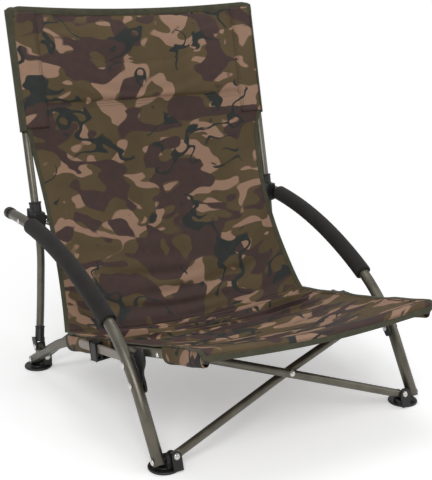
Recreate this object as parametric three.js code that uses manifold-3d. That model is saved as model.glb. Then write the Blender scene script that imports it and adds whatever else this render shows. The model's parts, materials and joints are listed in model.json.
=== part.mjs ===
// A low folding chair on four round feet: two bent arm and leg tubes, two seat rails, two back poles,
// a crossed pair of tubes in front and another behind, and a camouflage sling for seat and back.
// Millimetres, +X to the right of the sitter's view from the front, +Y to the rear, +Z up.

import * as THREE from 'three';
import { mergeVertices } from 'three/addons/utils/BufferGeometryUtils.js';
import Module from 'manifold-3d';

const wasm = await Module();
wasm.setup();

// Clearances
const seatGap = 0.3; // between pieces that rest against each other
const pinGap = 0.25; // between a rivet and its hole
const looseGap = 0.9; // between many-sided rounds that sit inside each other
const cutOverrun = 4; // how far a cutter runs past the face that it opens
const endClearance = 0.4; // between a tube's side and the lug beside it
const forkGap = 0.6; // on each side of a tube end in its fork
const boreGap = 0.4; // between a pole and its collar
const gripClearance = 1.8; // between the foam's end and the collar
const sleeveClearance = 0.8; // between a tube and the cloth round it

// Stance: where the main joints lie, measured from the line of the front feet
const frontFootX = 268;
const frontFootY = 0;
const rearFootX = 293.5;
const rearFootY = 529;
const legPinY = -8;
const legPinZ = 20;
const railFootPinY = 530;
const railFootPinZ = 18;
const frontCrossPinX = 254.5; // lower ends of the front cross tubes
const frontCrossPinY = -10;
const frontCrossPinZ = 23;
const railCrossPinX = 231; // upper ends of the front cross tubes, under the rails
const railCrossPinY = 45;
const railCrossPinZ = 190.3;
const rearCrossPinX = 278;
const rearCrossPinY = 524;
const rearCrossPinZ = 24;
const rearCrossTopZ = 322;
const rearCrossTopX = 264; // upper ends of the rear cross tubes, inside the collars

// Tubes
const armTubeRadius = 11;
const poleRadius = 8;
const crossRadius = 8;
const tubeWall = 1.2;
const railHeight = 20; // of the flat-sided oval tube
const railWidth = 12;
const crossGap = 1.6; // between the two tubes of a crossed pair
const crossEnd = 3; // tube beyond its end pins
const crossBendRadius = 12;
const crossFlat = 24; // from each end pin, how far a tube keeps to the plane of its fork
const crossLap = 34; // on each side of a crossing, how far the two tubes keep apart

// Arm and leg tube, in its side plane
const legPlaneX = 284;
const legSplay = 0.042; // outward run for each millimetre to the rear
const legHeading = 57; // degrees above the floor
const legStraight = 105;
const kneeRadius = 340;
const kneeHeading = 28;
const armRadius = 860;
const armTail = 38;
const legOverhang = 8; // tube below its pin
const foamRadius = 17;
const foamLength = 352; // forward along the tube from the collar

// Seat rail, in its side plane
const railPlaneX = 245.1;
const railSplay = 0.111;
const railBendY = 392;
const railBendZ = 104;
const railBendRadius = 45;
const railFrontY = -86;
const railFrontZ = 227;
const railOverhang = 6; // tube beyond its foot pin

// Back pole
const poleX = 284;
const poleFootY = 498; // its pin, on an ear above the rail
const poleFootZ = 59.5;
const poleLowBendY = 524;
const poleLowBendZ = 143;
const poleHighBendY = 508;
const poleHighBendZ = 266;
const poleLean = 14.2; // degrees back from upright, above the upper bend
const poleTopDrop = 6; // of the pole's upper end below the top of the back
const poleBendRadius = 38;
const poleStart = 14; // from the pin up to the lower end of the tube

// Feet
const discRadius = 29;
const discThickness = 5.2;
const discRim = 1.6; // rounded edge
const earThickness = 4;
const earRadius = 9.5;
const lugThickness = 7;
const lugRadius = 11;

// Rivets
const rivetRadius = 2.5;
const rivetHeadRadius = 5;
const rivetHeadHeight = 2.4;
const rivetSides = 8;

// Leg bracket
const bracketBottom = 118; // along the leg from the pin
const bracketTop = 190;
const bracketReach = 40; // forward of the leg's axis
const bracketRivets = [135, 174]; // along the leg from the pin
const bracketEdge = 6;

// Prop under the rear of the seat
const propLength = 182;
const propHeight = 17;
const propThickness = 6;
const propStandoff = 3; // from the bracket
const propDrop = 6.5; // degrees below level, towards the rear
const propSplay = 0.182; // outwards, for each millimetre to the rear
const saddleAt = 138; // along the prop from its pin
const saddleWidth = 20;
const saddleWall = 4;
const saddleDepth = 24; // below the prop's axis to the shelf's underside
const saddleReach = 22; // inward from the prop

// Collar on the pole
const collarRadius = 12;
const collarTopZ = 362;
const collarBlock = { front: 503, rear: 556, bottom: 306, top: 344 };
const collarPinY = 541;
const collarPinZ = 322;
const collarShoulder = 9;

// End fittings
const capLip = 5;
const capDepth = 16;
const ferruleRadius = 9.4;
const ferruleTop = 42; // up the pole from its pin
const ferruleBottom = 12;
const ferruleEar = 8;
const knuckleWall = 3;
const knuckleReach = 12; // of its plate along the rail, each way from the pin

// Sling
const clothThickness = 3;
const clothRise = 15.5; // of the seat's edge above the rail's axis
const seatFrontY = -94;
const seatRearY = 376;
const seatSagFront = 10;
const seatSagMiddle = 26;
const seatFoldDepth = 3.2;
const seatFoldPitch = 30;
const backTopZ = 748;
const backSag = 26;
const backTopSag = 8;
const backBottomZ = 132;
const backEdgeLow = 278; // half width of the sheet at its lower hem
const backEdgeHigh = 284; // where its side sleeves begin
const frontLift = 11.5; // of the sheet in front of the poles' line
const backJointY = 378; // where the lower part of the back meets the seat
const backBendZ = 466; // above here the back follows the poles
const backFoldDepth = 3;
const backFoldPitch = 34;
const sleeveWall = 3.2;
const frontSleeve = [-84, 26];
const rearSleeve = [192, 364];
const poleSleeveBottom = 506;
const poleSleeveDrop = 11; // of the sleeve's upper end below the top of the back
const padDrop = 9; // of the pad's upper edge below the top of the back
const padHeight = 128;
const padEdge = 2; // thickness of the pad at its seams
const padThickness = 13;
const padInset = 18; // of the pad's side from the sheet's edge

// Derived places
const poleTopZ = backTopZ - poleTopDrop;
const poleSleeveTop = backTopZ - poleSleeveDrop;
const padTop = backTopZ - padDrop;
const padBottom = padTop - padHeight;

const degrees = Math.PI / 180;
const v3 = (x, y, z) => new THREE.Vector3(x, y, z);

// Finishes
const finish = (name, color, roughness, metalness) =>
  new THREE.MeshStandardMaterial({ name, color, roughness, metalness });
const gunmetal = finish('gunmetal tube', 0x5a5a4e, 0.38, 0.75);
const blackPlastic = finish('black plastic', 0x191919, 0.55, 0);
const nickel = finish('bright rivet', 0xc9c8c2, 0.25, 1);
const lightTube = finish('grey-brown bar', 0x7d7469, 0.45, 0.4);
const foam = finish('charcoal foam', 0x2b2a29, 0.9, 0);
const camouflage = finish('camouflage cloth', 0x5b4d36, 0.85, 0);

// Booleans between closed meshes
function toSolid(geometry) {
  const bare = new THREE.BufferGeometry();
  bare.setAttribute('position', geometry.getAttribute('position').clone());
  if (geometry.index) bare.setIndex(geometry.index.clone());
  const welded = mergeVertices(bare, 1e-4);
  return new wasm.Manifold(
    new wasm.Mesh({
      numProp: 3,
      vertProperties: new Float32Array(welded.getAttribute('position').array),
      triVerts: new Uint32Array(welded.index.array),
    }),
  );
}

function toGeometry(solid) {
  const mesh = solid.getMesh();
  const geometry = new THREE.BufferGeometry();
  geometry.setAttribute('position', new THREE.BufferAttribute(new Float32Array(mesh.vertProperties), 3));
  geometry.setIndex(new THREE.BufferAttribute(new Uint32Array(mesh.triVerts), 1));
  geometry.computeVertexNormals();
  return geometry;
}

function build(base, { add = [], cut = [] }) {
  let solid = toSolid(base);
  for (const piece of add) solid = solid.add(toSolid(piece));
  for (const piece of cut) solid = solid.subtract(toSolid(piece));
  return toGeometry(solid);
}

// A frame whose local X, Y and Z run along three given directions
function frameAt(origin, along, up) {
  const w = along.clone().normalize();
  const v = up.clone().addScaledVector(w, -up.dot(w)).normalize();
  const u = new THREE.Vector3().crossVectors(v, w);
  return new THREE.Matrix4().makeBasis(u, v, w).setPosition(origin);
}

const upward = v3(0, 0, 1);
const rearward = v3(0, 1, 0);
const outward = v3(1, 0, 0);

const guideFor = (span) => (Math.abs(span.z) > 0.9 * span.length() ? rearward : upward);

// A round bar, centred between two points
function bar(from, to, radius, sides = rivetSides) {
  const span = new THREE.Vector3().subVectors(to, from);
  const geometry = new THREE.CylinderGeometry(radius, radius, span.length(), sides);
  geometry.rotateX(Math.PI / 2);
  return geometry.applyMatrix4(frameAt(from.clone().lerp(to, 0.5), span, guideFor(span)));
}

// A plate cut from an outline that lies across `normal`, centred on the origin given
function plate(outline, thickness, origin, normal, up = upward) {
  const geometry = new THREE.ExtrudeGeometry(outline, { depth: thickness, bevelEnabled: false, curveSegments: 4 });
  geometry.translate(0, 0, -thickness / 2);
  return geometry.applyMatrix4(frameAt(origin, normal, up));
}

// An ear: a round end about its pin, with straight sides down to a base
function earOutline(radius, drop) {
  const outline = new THREE.Shape();
  outline.moveTo(-radius, -drop);
  outline.lineTo(radius, -drop);
  outline.lineTo(radius, 0);
  outline.absarc(0, 0, radius, 0, Math.PI);
  outline.lineTo(-radius, -drop);
  return outline;
}

// A rivet with a domed head outside `from`, and a flatter one outside `to` unless its end is flush
function rivet(from, to, flush = false) {
  const grip = from.distanceTo(to);
  const head = [
    [0, -rivetHeadHeight],
    [rivetHeadRadius * 0.6, -rivetHeadHeight * 0.85],
    [rivetHeadRadius, -rivetHeadHeight * 0.25],
    [rivetHeadRadius, 0],
    [rivetRadius, 0],
    [rivetRadius, grip],
  ];
  const tail = flush
    ? [[0, grip]]
    : [
        [rivetHeadRadius * 0.85, grip],
        [rivetHeadRadius * 0.75, grip + rivetHeadHeight * 0.5],
        [0, grip + rivetHeadHeight * 0.5],
      ];
  const profile = [...head, ...tail].map(([r, z]) => new THREE.Vector2(r, z));
  const geometry = new THREE.LatheGeometry(profile, rivetSides);
  geometry.rotateX(Math.PI / 2);
  const along = new THREE.Vector3().subVectors(to, from);
  return geometry.applyMatrix4(frameAt(from, along, guideFor(along)));
}

// Paths made of straight runs and arcs
class Arc extends THREE.Curve {
  constructor(start, heading, radius, sweep, place) {
    super();
    Object.assign(this, { start, heading, radius, sweep, place });
  }
  getPoint(t, target = new THREE.Vector3()) {
    const from = this.heading;
    const to = from + this.sweep * t;
    const side = Math.sign(this.sweep);
    const y = this.start[0] + side * this.radius * (Math.sin(to) - Math.sin(from));
    const z = this.start[1] - side * this.radius * (Math.cos(to) - Math.cos(from));
    return target.copy(this.place(y, z));
  }
}

// A path in a side plane from a start point and heading: runs are lengths, bends are [radius, new heading]
function sidePath(start, headingDegrees, runs, place) {
  const path = new THREE.CurvePath();
  let [y, z] = start;
  let heading = headingDegrees * degrees;
  for (const run of runs) {
    if (typeof run === 'number') {
      const next = [y + run * Math.cos(heading), z + run * Math.sin(heading)];
      path.add(new THREE.LineCurve3(place(y, z), place(...next)));
      [y, z] = next;
    } else {
      const [radius, target] = run;
      const sweep = target * degrees - heading;
      path.add(new Arc([y, z], heading, radius, sweep, place));
      const side = Math.sign(sweep);
      y += side * radius * (Math.sin(heading + sweep) - Math.sin(heading));
      z -= side * radius * (Math.cos(heading + sweep) - Math.cos(heading));
      heading += sweep;
    }
  }
  return path;
}

// A path through corner points with each inner corner rounded by a quadratic curve
function roundedPath(points, radius) {
  const path = new THREE.CurvePath();
  let last = points[0];
  for (let i = 1; i < points.length - 1; i += 1) {
    const before = points[i].clone().sub(points[i - 1]).setLength(radius);
    const after = points[i + 1].clone().sub(points[i]).setLength(radius);
    const enter = points[i].clone().sub(before);
    const leave = points[i].clone().add(after);
    path.add(new THREE.LineCurve3(last, enter));
    path.add(new THREE.QuadraticBezierCurve3(enter, points[i], leave));
    last = leave;
  }
  path.add(new THREE.LineCurve3(last, points[points.length - 1]));
  return path;
}

function ringShape(radius, wall) {
  const shape = new THREE.Shape();
  shape.absarc(0, 0, radius, 0, 2 * Math.PI);
  if (wall) {
    const bore = new THREE.Path();
    bore.absarc(0, 0, radius - wall, 0, 2 * Math.PI, true);
    shape.holes.push(bore);
  }
  return shape;
}

// The rail's section: flat sides and round edges, tall along the section's second axis
function ovalShape(height, width, wall) {
  const shape = new THREE.Shape();
  const straight = (height - width) / 2;
  const ring = (target, radius) => {
    target.moveTo(radius, -straight);
    target.lineTo(radius, straight);
    target.absarc(0, straight, radius, 0, Math.PI);
    target.lineTo(-radius, -straight);
    target.absarc(0, -straight, radius, Math.PI, 2 * Math.PI);
  };
  ring(shape, width / 2);
  if (wall) {
    const bore = new THREE.Path();
    ring(bore, width / 2 - wall);
    shape.holes.push(bore);
  }
  return shape;
}

// The stops of a path: the ends of its straight runs and a few places round each bend
class Stops extends THREE.Curve {
  constructor(path, bendSteps) {
    super();
    this.points = [];
    this.tangents = [];
    path.curves.forEach((curve, i) => {
      const steps = curve.isLineCurve3 ? 1 : bendSteps;
      for (let k = i === 0 ? 0 : 1; k <= steps; k += 1) {
        this.points.push(curve.getPointAt(k / steps));
        this.tangents.push(curve.getTangentAt(k / steps));
      }
    });
  }
  get steps() {
    return this.points.length - 1;
  }
  getPointAt(u, target = new THREE.Vector3()) {
    return target.copy(this.points[Math.round(u * this.steps)]);
  }
  getTangentAt(u, target = new THREE.Vector3()) {
    return target.copy(this.tangents[Math.round(u * this.steps)]);
  }
}

function sweep(shape, path, bendSteps, curveSegments) {
  const stops = new Stops(path, bendSteps);
  return new THREE.ExtrudeGeometry(shape, {
    extrudePath: stops,
    steps: stops.steps,
    curveSegments,
    bevelEnabled: false,
  });
}

// The part of a path between two distances along it
class Stretch extends THREE.Curve {
  constructor(path, from, to) {
    super();
    Object.assign(this, { path, from, to, whole: path.getLength() });
  }
  getPoint(t, target = new THREE.Vector3()) {
    return target.copy(this.path.getPointAt((this.from + (this.to - this.from) * t) / this.whole));
  }
}

// Side planes, as the right-hand side has them
const legPoint = (y, z) => v3(legPlaneX + legSplay * y, y, z);
const railPoint = (y, z) => v3(railPlaneX + railSplay * y, y, z);
const polePoint = (y, z) => v3(poleX, y, z);
const legNormal = v3(1, -legSplay, 0).normalize();
const railNormal = v3(1, -railSplay, 0).normalize();

// Arm and leg tube
const armPath = sidePath(
  [legPinY - legOverhang * Math.cos(legHeading * degrees), legPinZ - legOverhang * Math.sin(legHeading * degrees)],
  legHeading,
  [legOverhang + legStraight, [kneeRadius, kneeHeading], [armRadius, 0], armTail],
  legPoint,
);
const armPathLength = armPath.getLength();
const alongArm = (distance) => armPath.getPointAt((distance + legOverhang) / armPathLength);
const armDirection = (distance) => armPath.getTangentAt((distance + legOverhang) / armPathLength);
function armDistanceAt(y) {
  const samples = 400;
  let i = 0;
  while (i < samples && armPath.getPointAt(i / samples).y < y) i += 1;
  return (armPathLength * i) / samples - legOverhang;
}
const armAtDepth = (y) => alongArm(armDistanceAt(y));
const foamStart = armDistanceAt(collarBlock.front) - gripClearance - foamLength;

// Rail
const railSlope = Math.atan2(railFrontZ - railBendZ, railBendY - railFrontY);
const railRearSlope = Math.atan2(railBendZ - railFootPinZ, railFootPinY - railBendY);
const railEnd = railPoint(
  railFootPinY + railOverhang * Math.cos(railRearSlope),
  railFootPinZ - railOverhang * Math.sin(railRearSlope),
);
const railPath = roundedPath([railPoint(railFrontY, railFrontZ), railPoint(railBendY, railBendZ), railEnd], railBendRadius);
const railHeightAt = (y) =>
  y < railBendY
    ? railBendZ + (railBendY - y) * Math.tan(railSlope)
    : railBendZ - (y - railBendY) * Math.tan(railRearSlope);
const railAt = (y) => railPoint(y, railHeightAt(y));

// Pole
const poleFoot = v3(railPoint(poleFootY, 0).x, poleFootY, poleFootZ);
const poleLowBend = polePoint(poleLowBendY, poleLowBendZ);
const poleHighBend = polePoint(poleHighBendY, poleHighBendZ);
const poleUp = v3(0, Math.sin(poleLean * degrees), Math.cos(poleLean * degrees));
const poleAtHeight = (z) => poleHighBend.clone().addScaledVector(poleUp, (z - poleHighBendZ) / poleUp.z);
const poleFootUp = poleLowBend.clone().sub(poleFoot).normalize();
const polePath = roundedPath(
  [poleFoot.clone().addScaledVector(poleFootUp, poleStart), poleLowBend, poleHighBend, poleAtHeight(poleTopZ)],
  poleBendRadius,
);

// Crossed pairs
const pairOffset = crossRadius + crossGap / 2;
const behind = 1; // the tube from the left foot
const ahead = -1; // the tube from the right foot
const frontPinLow = v3(frontCrossPinX, frontCrossPinY, frontCrossPinZ);
const frontPinHigh = v3(railCrossPinX, railCrossPinY, railCrossPinZ);
const frontUp = v3(0, railCrossPinY - frontCrossPinY, railCrossPinZ - frontCrossPinZ).normalize();
const frontNormal = new THREE.Vector3().crossVectors(frontUp, outward).normalize();
const rearPinLow = v3(rearCrossPinX, rearCrossPinY, rearCrossPinZ);
const rearPinHigh = v3(rearCrossTopX, rearCrossPinY, rearCrossTopZ);
const mirrored = (point) => v3(-point.x, point.y, point.z);
function crossingOf(low, high) {
  return low.clone().lerp(mirrored(high), low.x / (low.x + high.x));
}
const frontCrossing = crossingOf(frontPinLow, frontPinHigh);
const rearCrossing = crossingOf(rearPinLow, rearPinHigh);

// The tube whose lower end is on the right, leaning to its upper pin on the left
function crossTubePath(low, high, normal, layer) {
  const middle = crossingOf(low, high).addScaledVector(normal, layer * pairOffset);
  const top = mirrored(high);
  const run = new THREE.Vector3().subVectors(top, low).normalize();
  const points = [
    low.clone().addScaledVector(run, -crossEnd),
    low.clone().addScaledVector(run, crossFlat),
    middle.clone().addScaledVector(run, -crossLap),
    middle.clone().addScaledVector(run, crossLap),
    top.clone().addScaledVector(run, -crossFlat),
    top.clone().addScaledVector(run, crossEnd),
  ];
  return roundedPath(points, crossBendRadius);
}

// Ears on either side of a tube end, pinned through it
const forkHalf = crossRadius + forkGap + earThickness / 2;
function fork(pin, normal, up, dropOf) {
  return [-forkHalf, forkHalf].map((reach) => {
    const centre = pin.clone().addScaledVector(normal, reach);
    return plate(earOutline(earRadius, dropOf(centre)), earThickness, centre, normal, up);
  });
}

function pinAcross(pin, normal) {
  const half = forkHalf + earThickness / 2 + seatGap;
  return [pin.clone().addScaledVector(normal, -half), pin.clone().addScaledVector(normal, half)];
}

function hole(from, to, radius = rivetRadius) {
  const run = new THREE.Vector3().subVectors(to, from).setLength(cutOverrun);
  return bar(from.clone().sub(run), to.clone().add(run), radius + pinGap);
}

function block(low, high) {
  const geometry = new THREE.BoxGeometry(high.x - low.x, high.y - low.y, high.z - low.z);
  return geometry.translate((low.x + high.x) / 2, (low.y + high.y) / 2, (low.z + high.z) / 2);
}

// A foot: a rounded disc, a hub, a lug for the tube outside it and two ears for the cross tube
function foot(centre, lugPin, lugNormal, lugFace, crossPin, normal, up) {
  const profile = [
    [0, 0],
    [discRadius - discRim, 0],
    [discRadius, discRim],
    [discRadius, discThickness - discRim],
    [discRadius - discRim, discThickness],
    [0, discThickness],
  ].map(([r, z]) => new THREE.Vector2(r, z));
  const disc = new THREE.LatheGeometry(profile, 24);
  disc.rotateX(Math.PI / 2);
  disc.translate(centre.x, centre.y, 0);
  const root = discThickness / 2;
  const lugCentre = v3(lugFace - lugThickness / 2, lugPin.y, lugPin.z);
  const lug = plate(earOutline(lugRadius, lugPin.z - root), lugThickness, lugCentre, outward);
  const ears = fork(crossPin, normal, up, (centre) => (centre.z - root) / up.z);
  const saddleTop = crossPin.z - crossRadius - forkGap - seatGap;
  const base = block(
    v3(crossPin.x - earRadius, crossPin.y - forkHalf, root),
    v3(lugFace - seatGap, crossPin.y + forkHalf, saddleTop - forkGap),
  );
  const body = build(disc, { add: [lug, base, ...ears] });
  const lugHole = hole(alongPin(lugPin, lugNormal, lugCentre.x), lugPin);
  return build(body, { cut: [hole(...pinAcross(crossPin, normal)), lugHole] });
}

const chair = new THREE.Group();

function add(name, geometry, material, parent = chair) {
  const mesh = new THREE.Mesh(geometry, material);
  mesh.name = name;
  parent.add(mesh);
}

// A round cap: a lip outside a tube end and a spigot inside it
function endCap(end, direction, radius) {
  const spigot = radius - tubeWall - looseGap;
  const profile = [
    [0, -capDepth],
    [spigot, -capDepth],
    [spigot, seatGap],
    [radius, seatGap],
    [radius, capLip * 0.6],
    [radius * 0.8, capLip],
    [0, capLip],
  ].map(([r, z]) => new THREE.Vector2(r, z));
  const geometry = new THREE.LatheGeometry(profile, 14);
  geometry.rotateX(Math.PI / 2);
  return geometry.applyMatrix4(frameAt(end, direction, outward));
}

// The place where a pin through `point`, square to a side plane, has reached a given x
const alongPin = (point, normal, x) => point.clone().addScaledVector(normal, (x - point.x) / normal.x);

function legAssembly(name, side) {
  const legPin = legPoint(legPinY, legPinZ);
  const lugFace = legPoint(legPinY - lugRadius, 0).x - armTubeRadius - endClearance;
  const footCentre = v3(frontFootX, frontFootY, 0);
  const frontFoot = foot(footCentre, legPin, legNormal, lugFace, frontPinLow, frontNormal, frontUp);
  add(`front_foot_${name}`, frontFoot, blackPlastic, side);
  const legRivet = [
    alongPin(legPin, legNormal, legPin.x + armTubeRadius + seatGap),
    alongPin(legPin, legNormal, lugFace - lugThickness + seatGap),
  ];
  add(`leg_rivet_${name}`, rivet(...legRivet, true), nickel, side);
  add(`front_foot_rivet_${name}`, rivet(...pinAcross(frontPinLow, frontNormal)), nickel, side);

  const innerX = alongArm(bracketBottom).x - armTubeRadius - seatGap - earThickness;
  const bracketPins = bracketRivets.map((distance, i) => {
    const centre = alongArm(distance);
    const tail = innerX - seatGap - i * (propStandoff + propThickness + 2 * looseGap);
    return [
      alongPin(centre, legNormal, centre.x + armTubeRadius + seatGap),
      alongPin(centre, legNormal, tail),
    ];
  });
  const armPin = legPoint(collarPinY, collarPinZ);
  const armRivet = [
    alongPin(armPin, legNormal, armPin.x + armTubeRadius + seatGap),
    alongPin(armPin, legNormal, armPin.x - armTubeRadius + seatGap),
  ];
  const tube = sweep(ringShape(armTubeRadius, tubeWall), armPath, 8, 6);
  add(
    `arm_tube_${name}`,
    build(tube, { cut: [hole(...legRivet), ...bracketPins.map((ends) => hole(...ends)), hole(...armRivet)] }),
    gunmetal,
    side,
  );
  add(`arm_rivet_${name}`, rivet(...armRivet, true), nickel, side);
  add(`arm_end_cap_${name}`, endCap(armPath.getPoint(1), armDirection(armPathLength - legOverhang), armTubeRadius), blackPlastic, side);
  const gripPath = new Stretch(armPath, foamStart + legOverhang, foamStart + foamLength + legOverhang);
  const grip = new THREE.ExtrudeGeometry(ringShape(foamRadius, foamRadius - armTubeRadius - looseGap), {
    extrudePath: gripPath,
    steps: 10,
    curveSegments: 6,
    bevelEnabled: false,
  });
  add(`foam_grip_${name}`, grip, foam, side);

  // Bracket on the inner side of the leg, with a shoulder that reaches up under the rail
  const along = armDirection((bracketBottom + bracketTop) / 2).setX(0).normalize();
  const across = v3(0, -along.z, along.y);
  const length = bracketTop - bracketBottom;
  const lowEdge = armTubeRadius * 0.8;
  const outline = new THREE.Shape();
  outline.moveTo(bracketEdge, -lowEdge);
  outline.lineTo(length - bracketEdge, -lowEdge);
  outline.quadraticCurveTo(length, -lowEdge, length, 0);
  outline.lineTo(length, bracketReach * 0.6);
  outline.quadraticCurveTo(length, bracketReach, length * 0.8, bracketReach);
  outline.quadraticCurveTo(length * 0.58, bracketReach, length * 0.5, bracketReach * 0.55);
  outline.quadraticCurveTo(length * 0.42, lowEdge, length * 0.2, lowEdge);
  outline.quadraticCurveTo(0, lowEdge, 0, 0);
  outline.quadraticCurveTo(0, -lowEdge, bracketEdge, -lowEdge);
  const base = alongArm((bracketRivets[0] + bracketRivets[1]) / 2);
  const start = base.clone().addScaledVector(along, -length / 2);
  const shoulder = new THREE.ExtrudeGeometry(outline, { depth: earThickness, bevelEnabled: false, curveSegments: 4 });
  shoulder.applyMatrix4(new THREE.Matrix4().makeBasis(along, across, outward).setPosition(innerX, start.y, start.z));
  add(
    `leg_bracket_${name}`,
    build(shoulder, { cut: bracketPins.map((ends) => hole(...ends)) }),
    blackPlastic,
    side,
  );
  bracketPins.forEach((ends, i) => add(`bracket_rivet_${i + 1}_${name}`, rivet(...ends), nickel, side));

  // Prop from the upper rivet back under the seat, and the open saddle that it carries
  const propPin = alongPin(bracketPins[1][0], legNormal, innerX - propStandoff - propThickness / 2);
  const drop = propDrop * degrees;
  const propRear = propLength * Math.cos(drop);
  const propEnd = propPin.clone().add(v3(propSplay * propRear, propRear, -propLength * Math.sin(drop)));
  const run = propEnd.clone().sub(propPin);
  const slot = new THREE.Shape();
  slot.absarc(0, 0, propHeight / 2, Math.PI / 2, (3 * Math.PI) / 2);
  slot.absarc(run.length(), 0, propHeight / 2, -Math.PI / 2, Math.PI / 2);
  slot.lineTo(0, propHeight / 2);
  const strip = new THREE.ExtrudeGeometry(slot, { depth: propThickness, bevelEnabled: false, curveSegments: 5 });
  strip.translate(0, 0, -propThickness / 2);
  const propAlong = run.clone().normalize();
  const propSide = new THREE.Vector3().crossVectors(propAlong, upward).normalize();
  const propUp = new THREE.Vector3().crossVectors(propSide, propAlong);
  const propFrame = new THREE.Matrix4().makeBasis(propAlong, propUp, propSide);
  strip.applyMatrix4(propFrame.clone().setPosition(propPin));
  add(`prop_${name}`, build(strip, { cut: [hole(...bracketPins[1])] }), lightTube, side);
  const shelfTop = -saddleDepth + saddleWall;
  const half = propThickness / 2 + seatGap;
  const saddle = block(
    v3(saddleAt - saddleWidth / 2, -saddleDepth, -half - saddleReach),
    v3(saddleAt + saddleWidth / 2, propHeight / 2 + seatGap + saddleWall, half + saddleWall),
  );
  const openings = [
    block(
      v3(saddleAt - saddleWidth, shelfTop, -half - saddleReach - cutOverrun),
      v3(saddleAt + saddleWidth, propHeight + saddleDepth, -half - saddleWall),
    ),
    block(
      v3(saddleAt - saddleWidth, -propHeight / 2 - seatGap, -half),
      v3(saddleAt + saddleWidth, propHeight / 2 + seatGap, half),
    ),
  ];
  const cradle = build(saddle, { cut: openings }).applyMatrix4(propFrame.clone().setPosition(propPin));
  add(`prop_saddle_${name}`, cradle, blackPlastic, side);
}

function railAssembly(name, side) {
  const footPin = railPoint(railFootPinY, railFootPinZ);
  const lugFace = railPoint(railFootPinY - lugRadius, 0).x - railWidth / 2 - endClearance;
  const footCentre = v3(rearFootX, rearFootY, 0);
  const rearFoot = foot(footCentre, footPin, railNormal, lugFace, rearPinLow, rearward, upward);
  add(`rear_foot_${name}`, rearFoot, blackPlastic, side);
  const footRivet = [
    alongPin(footPin, railNormal, footPin.x + railWidth / 2 + seatGap),
    alongPin(footPin, railNormal, lugFace - lugThickness + seatGap),
  ];
  add(`rail_rivet_${name}`, rivet(...footRivet, true), nickel, side);
  add(`rear_foot_rivet_${name}`, rivet(...pinAcross(rearPinLow, rearward)), nickel, side);

  // Rail with the ear that carries the pole
  const knuckleFace = railPoint(frontPinHigh.y - knuckleReach, 0).x - railWidth / 2 - seatGap;
  const pivot = railPoint(frontPinHigh.y, frontPinHigh.z);
  const railPivot = [
    alongPin(pivot, railNormal, pivot.x + railWidth / 2 + seatGap),
    alongPin(pivot, railNormal, knuckleFace - knuckleWall + seatGap),
  ];
  const ear = plate(
    earOutline(ferruleEar, poleFootZ - railHeightAt(poleFootY)),
    railWidth * 0.9,
    poleFoot,
    railNormal,
  );
  const bore = sweep(ovalShape(railHeight, railWidth, tubeWall), railPath, 4, 4);
  const poleRivetHalf = railWidth / 2 + endClearance + earThickness + seatGap;
  const poleRivet = [poleRivetHalf, -poleRivetHalf].map((reach) =>
    poleFoot.clone().addScaledVector(railNormal, reach),
  );
  add(
    `side_rail_${name}`,
    build(build(bore, { add: [ear] }), { cut: [hole(...footRivet), hole(...poleRivet), hole(...railPivot)] }),
    gunmetal,
    side,
  );

  // Ferrule that straddles the ear, and the pole in it
  const cheekUp = v3(0, poleFootUp.y, poleFootUp.z).normalize();
  const sleeve = bar(
    poleFoot.clone().addScaledVector(poleFootUp, ferruleBottom),
    poleFoot.clone().addScaledVector(poleFootUp, ferruleTop),
    ferruleRadius,
    14,
  );
  const cheekHalf = railWidth / 2 + endClearance + earThickness / 2;
  const cheeks = [-cheekHalf, cheekHalf].map((reach) =>
    plate(
      earOutline(ferruleEar, ferruleTop / 2),
      earThickness,
      poleFoot.clone().addScaledVector(railNormal, reach),
      railNormal,
      cheekUp.clone().negate(),
    ),
  );
  const socket = bar(
    poleFoot.clone().addScaledVector(poleFootUp, poleStart - seatGap),
    poleFoot.clone().addScaledVector(poleFootUp, ferruleTop + cutOverrun),
    poleRadius + looseGap / 2,
    12,
  );
  add(
    `pole_ferrule_${name}`,
    build(build(sleeve, { add: cheeks }), { cut: [socket, hole(...poleRivet)] }),
    blackPlastic,
    side,
  );
  add(`ferrule_rivet_${name}`, rivet(...poleRivet), nickel, side);
  add(`back_pole_${name}`, sweep(ringShape(poleRadius, tubeWall), polePath, 5, 6), gunmetal, side);

  // Knuckle on the inner side of the rail, with a fork for the front cross tube
  const backing = block(
    v3(knuckleFace - knuckleWall, frontPinHigh.y - knuckleReach, frontPinHigh.z - knuckleReach),
    v3(knuckleFace, frontPinHigh.y + knuckleReach, frontPinHigh.z + knuckleReach * 0.7),
  );
  const inwardNow = outward.clone().negate();
  const ears = fork(frontPinHigh, frontNormal, inwardNow, (centre) => knuckleFace - seatGap - centre.x);
  add(
    `rail_knuckle_${name}`,
    build(build(backing, { add: ears }), { cut: [hole(...pinAcross(frontPinHigh, frontNormal)), hole(...railPivot)] }),
    blackPlastic,
    side,
  );
  add(`knuckle_rivet_${name}`, rivet(...pinAcross(frontPinHigh, frontNormal)), nickel, side);
  add(`rail_pivot_${name}`, rivet(...railPivot, true), nickel, side);
}

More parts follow.
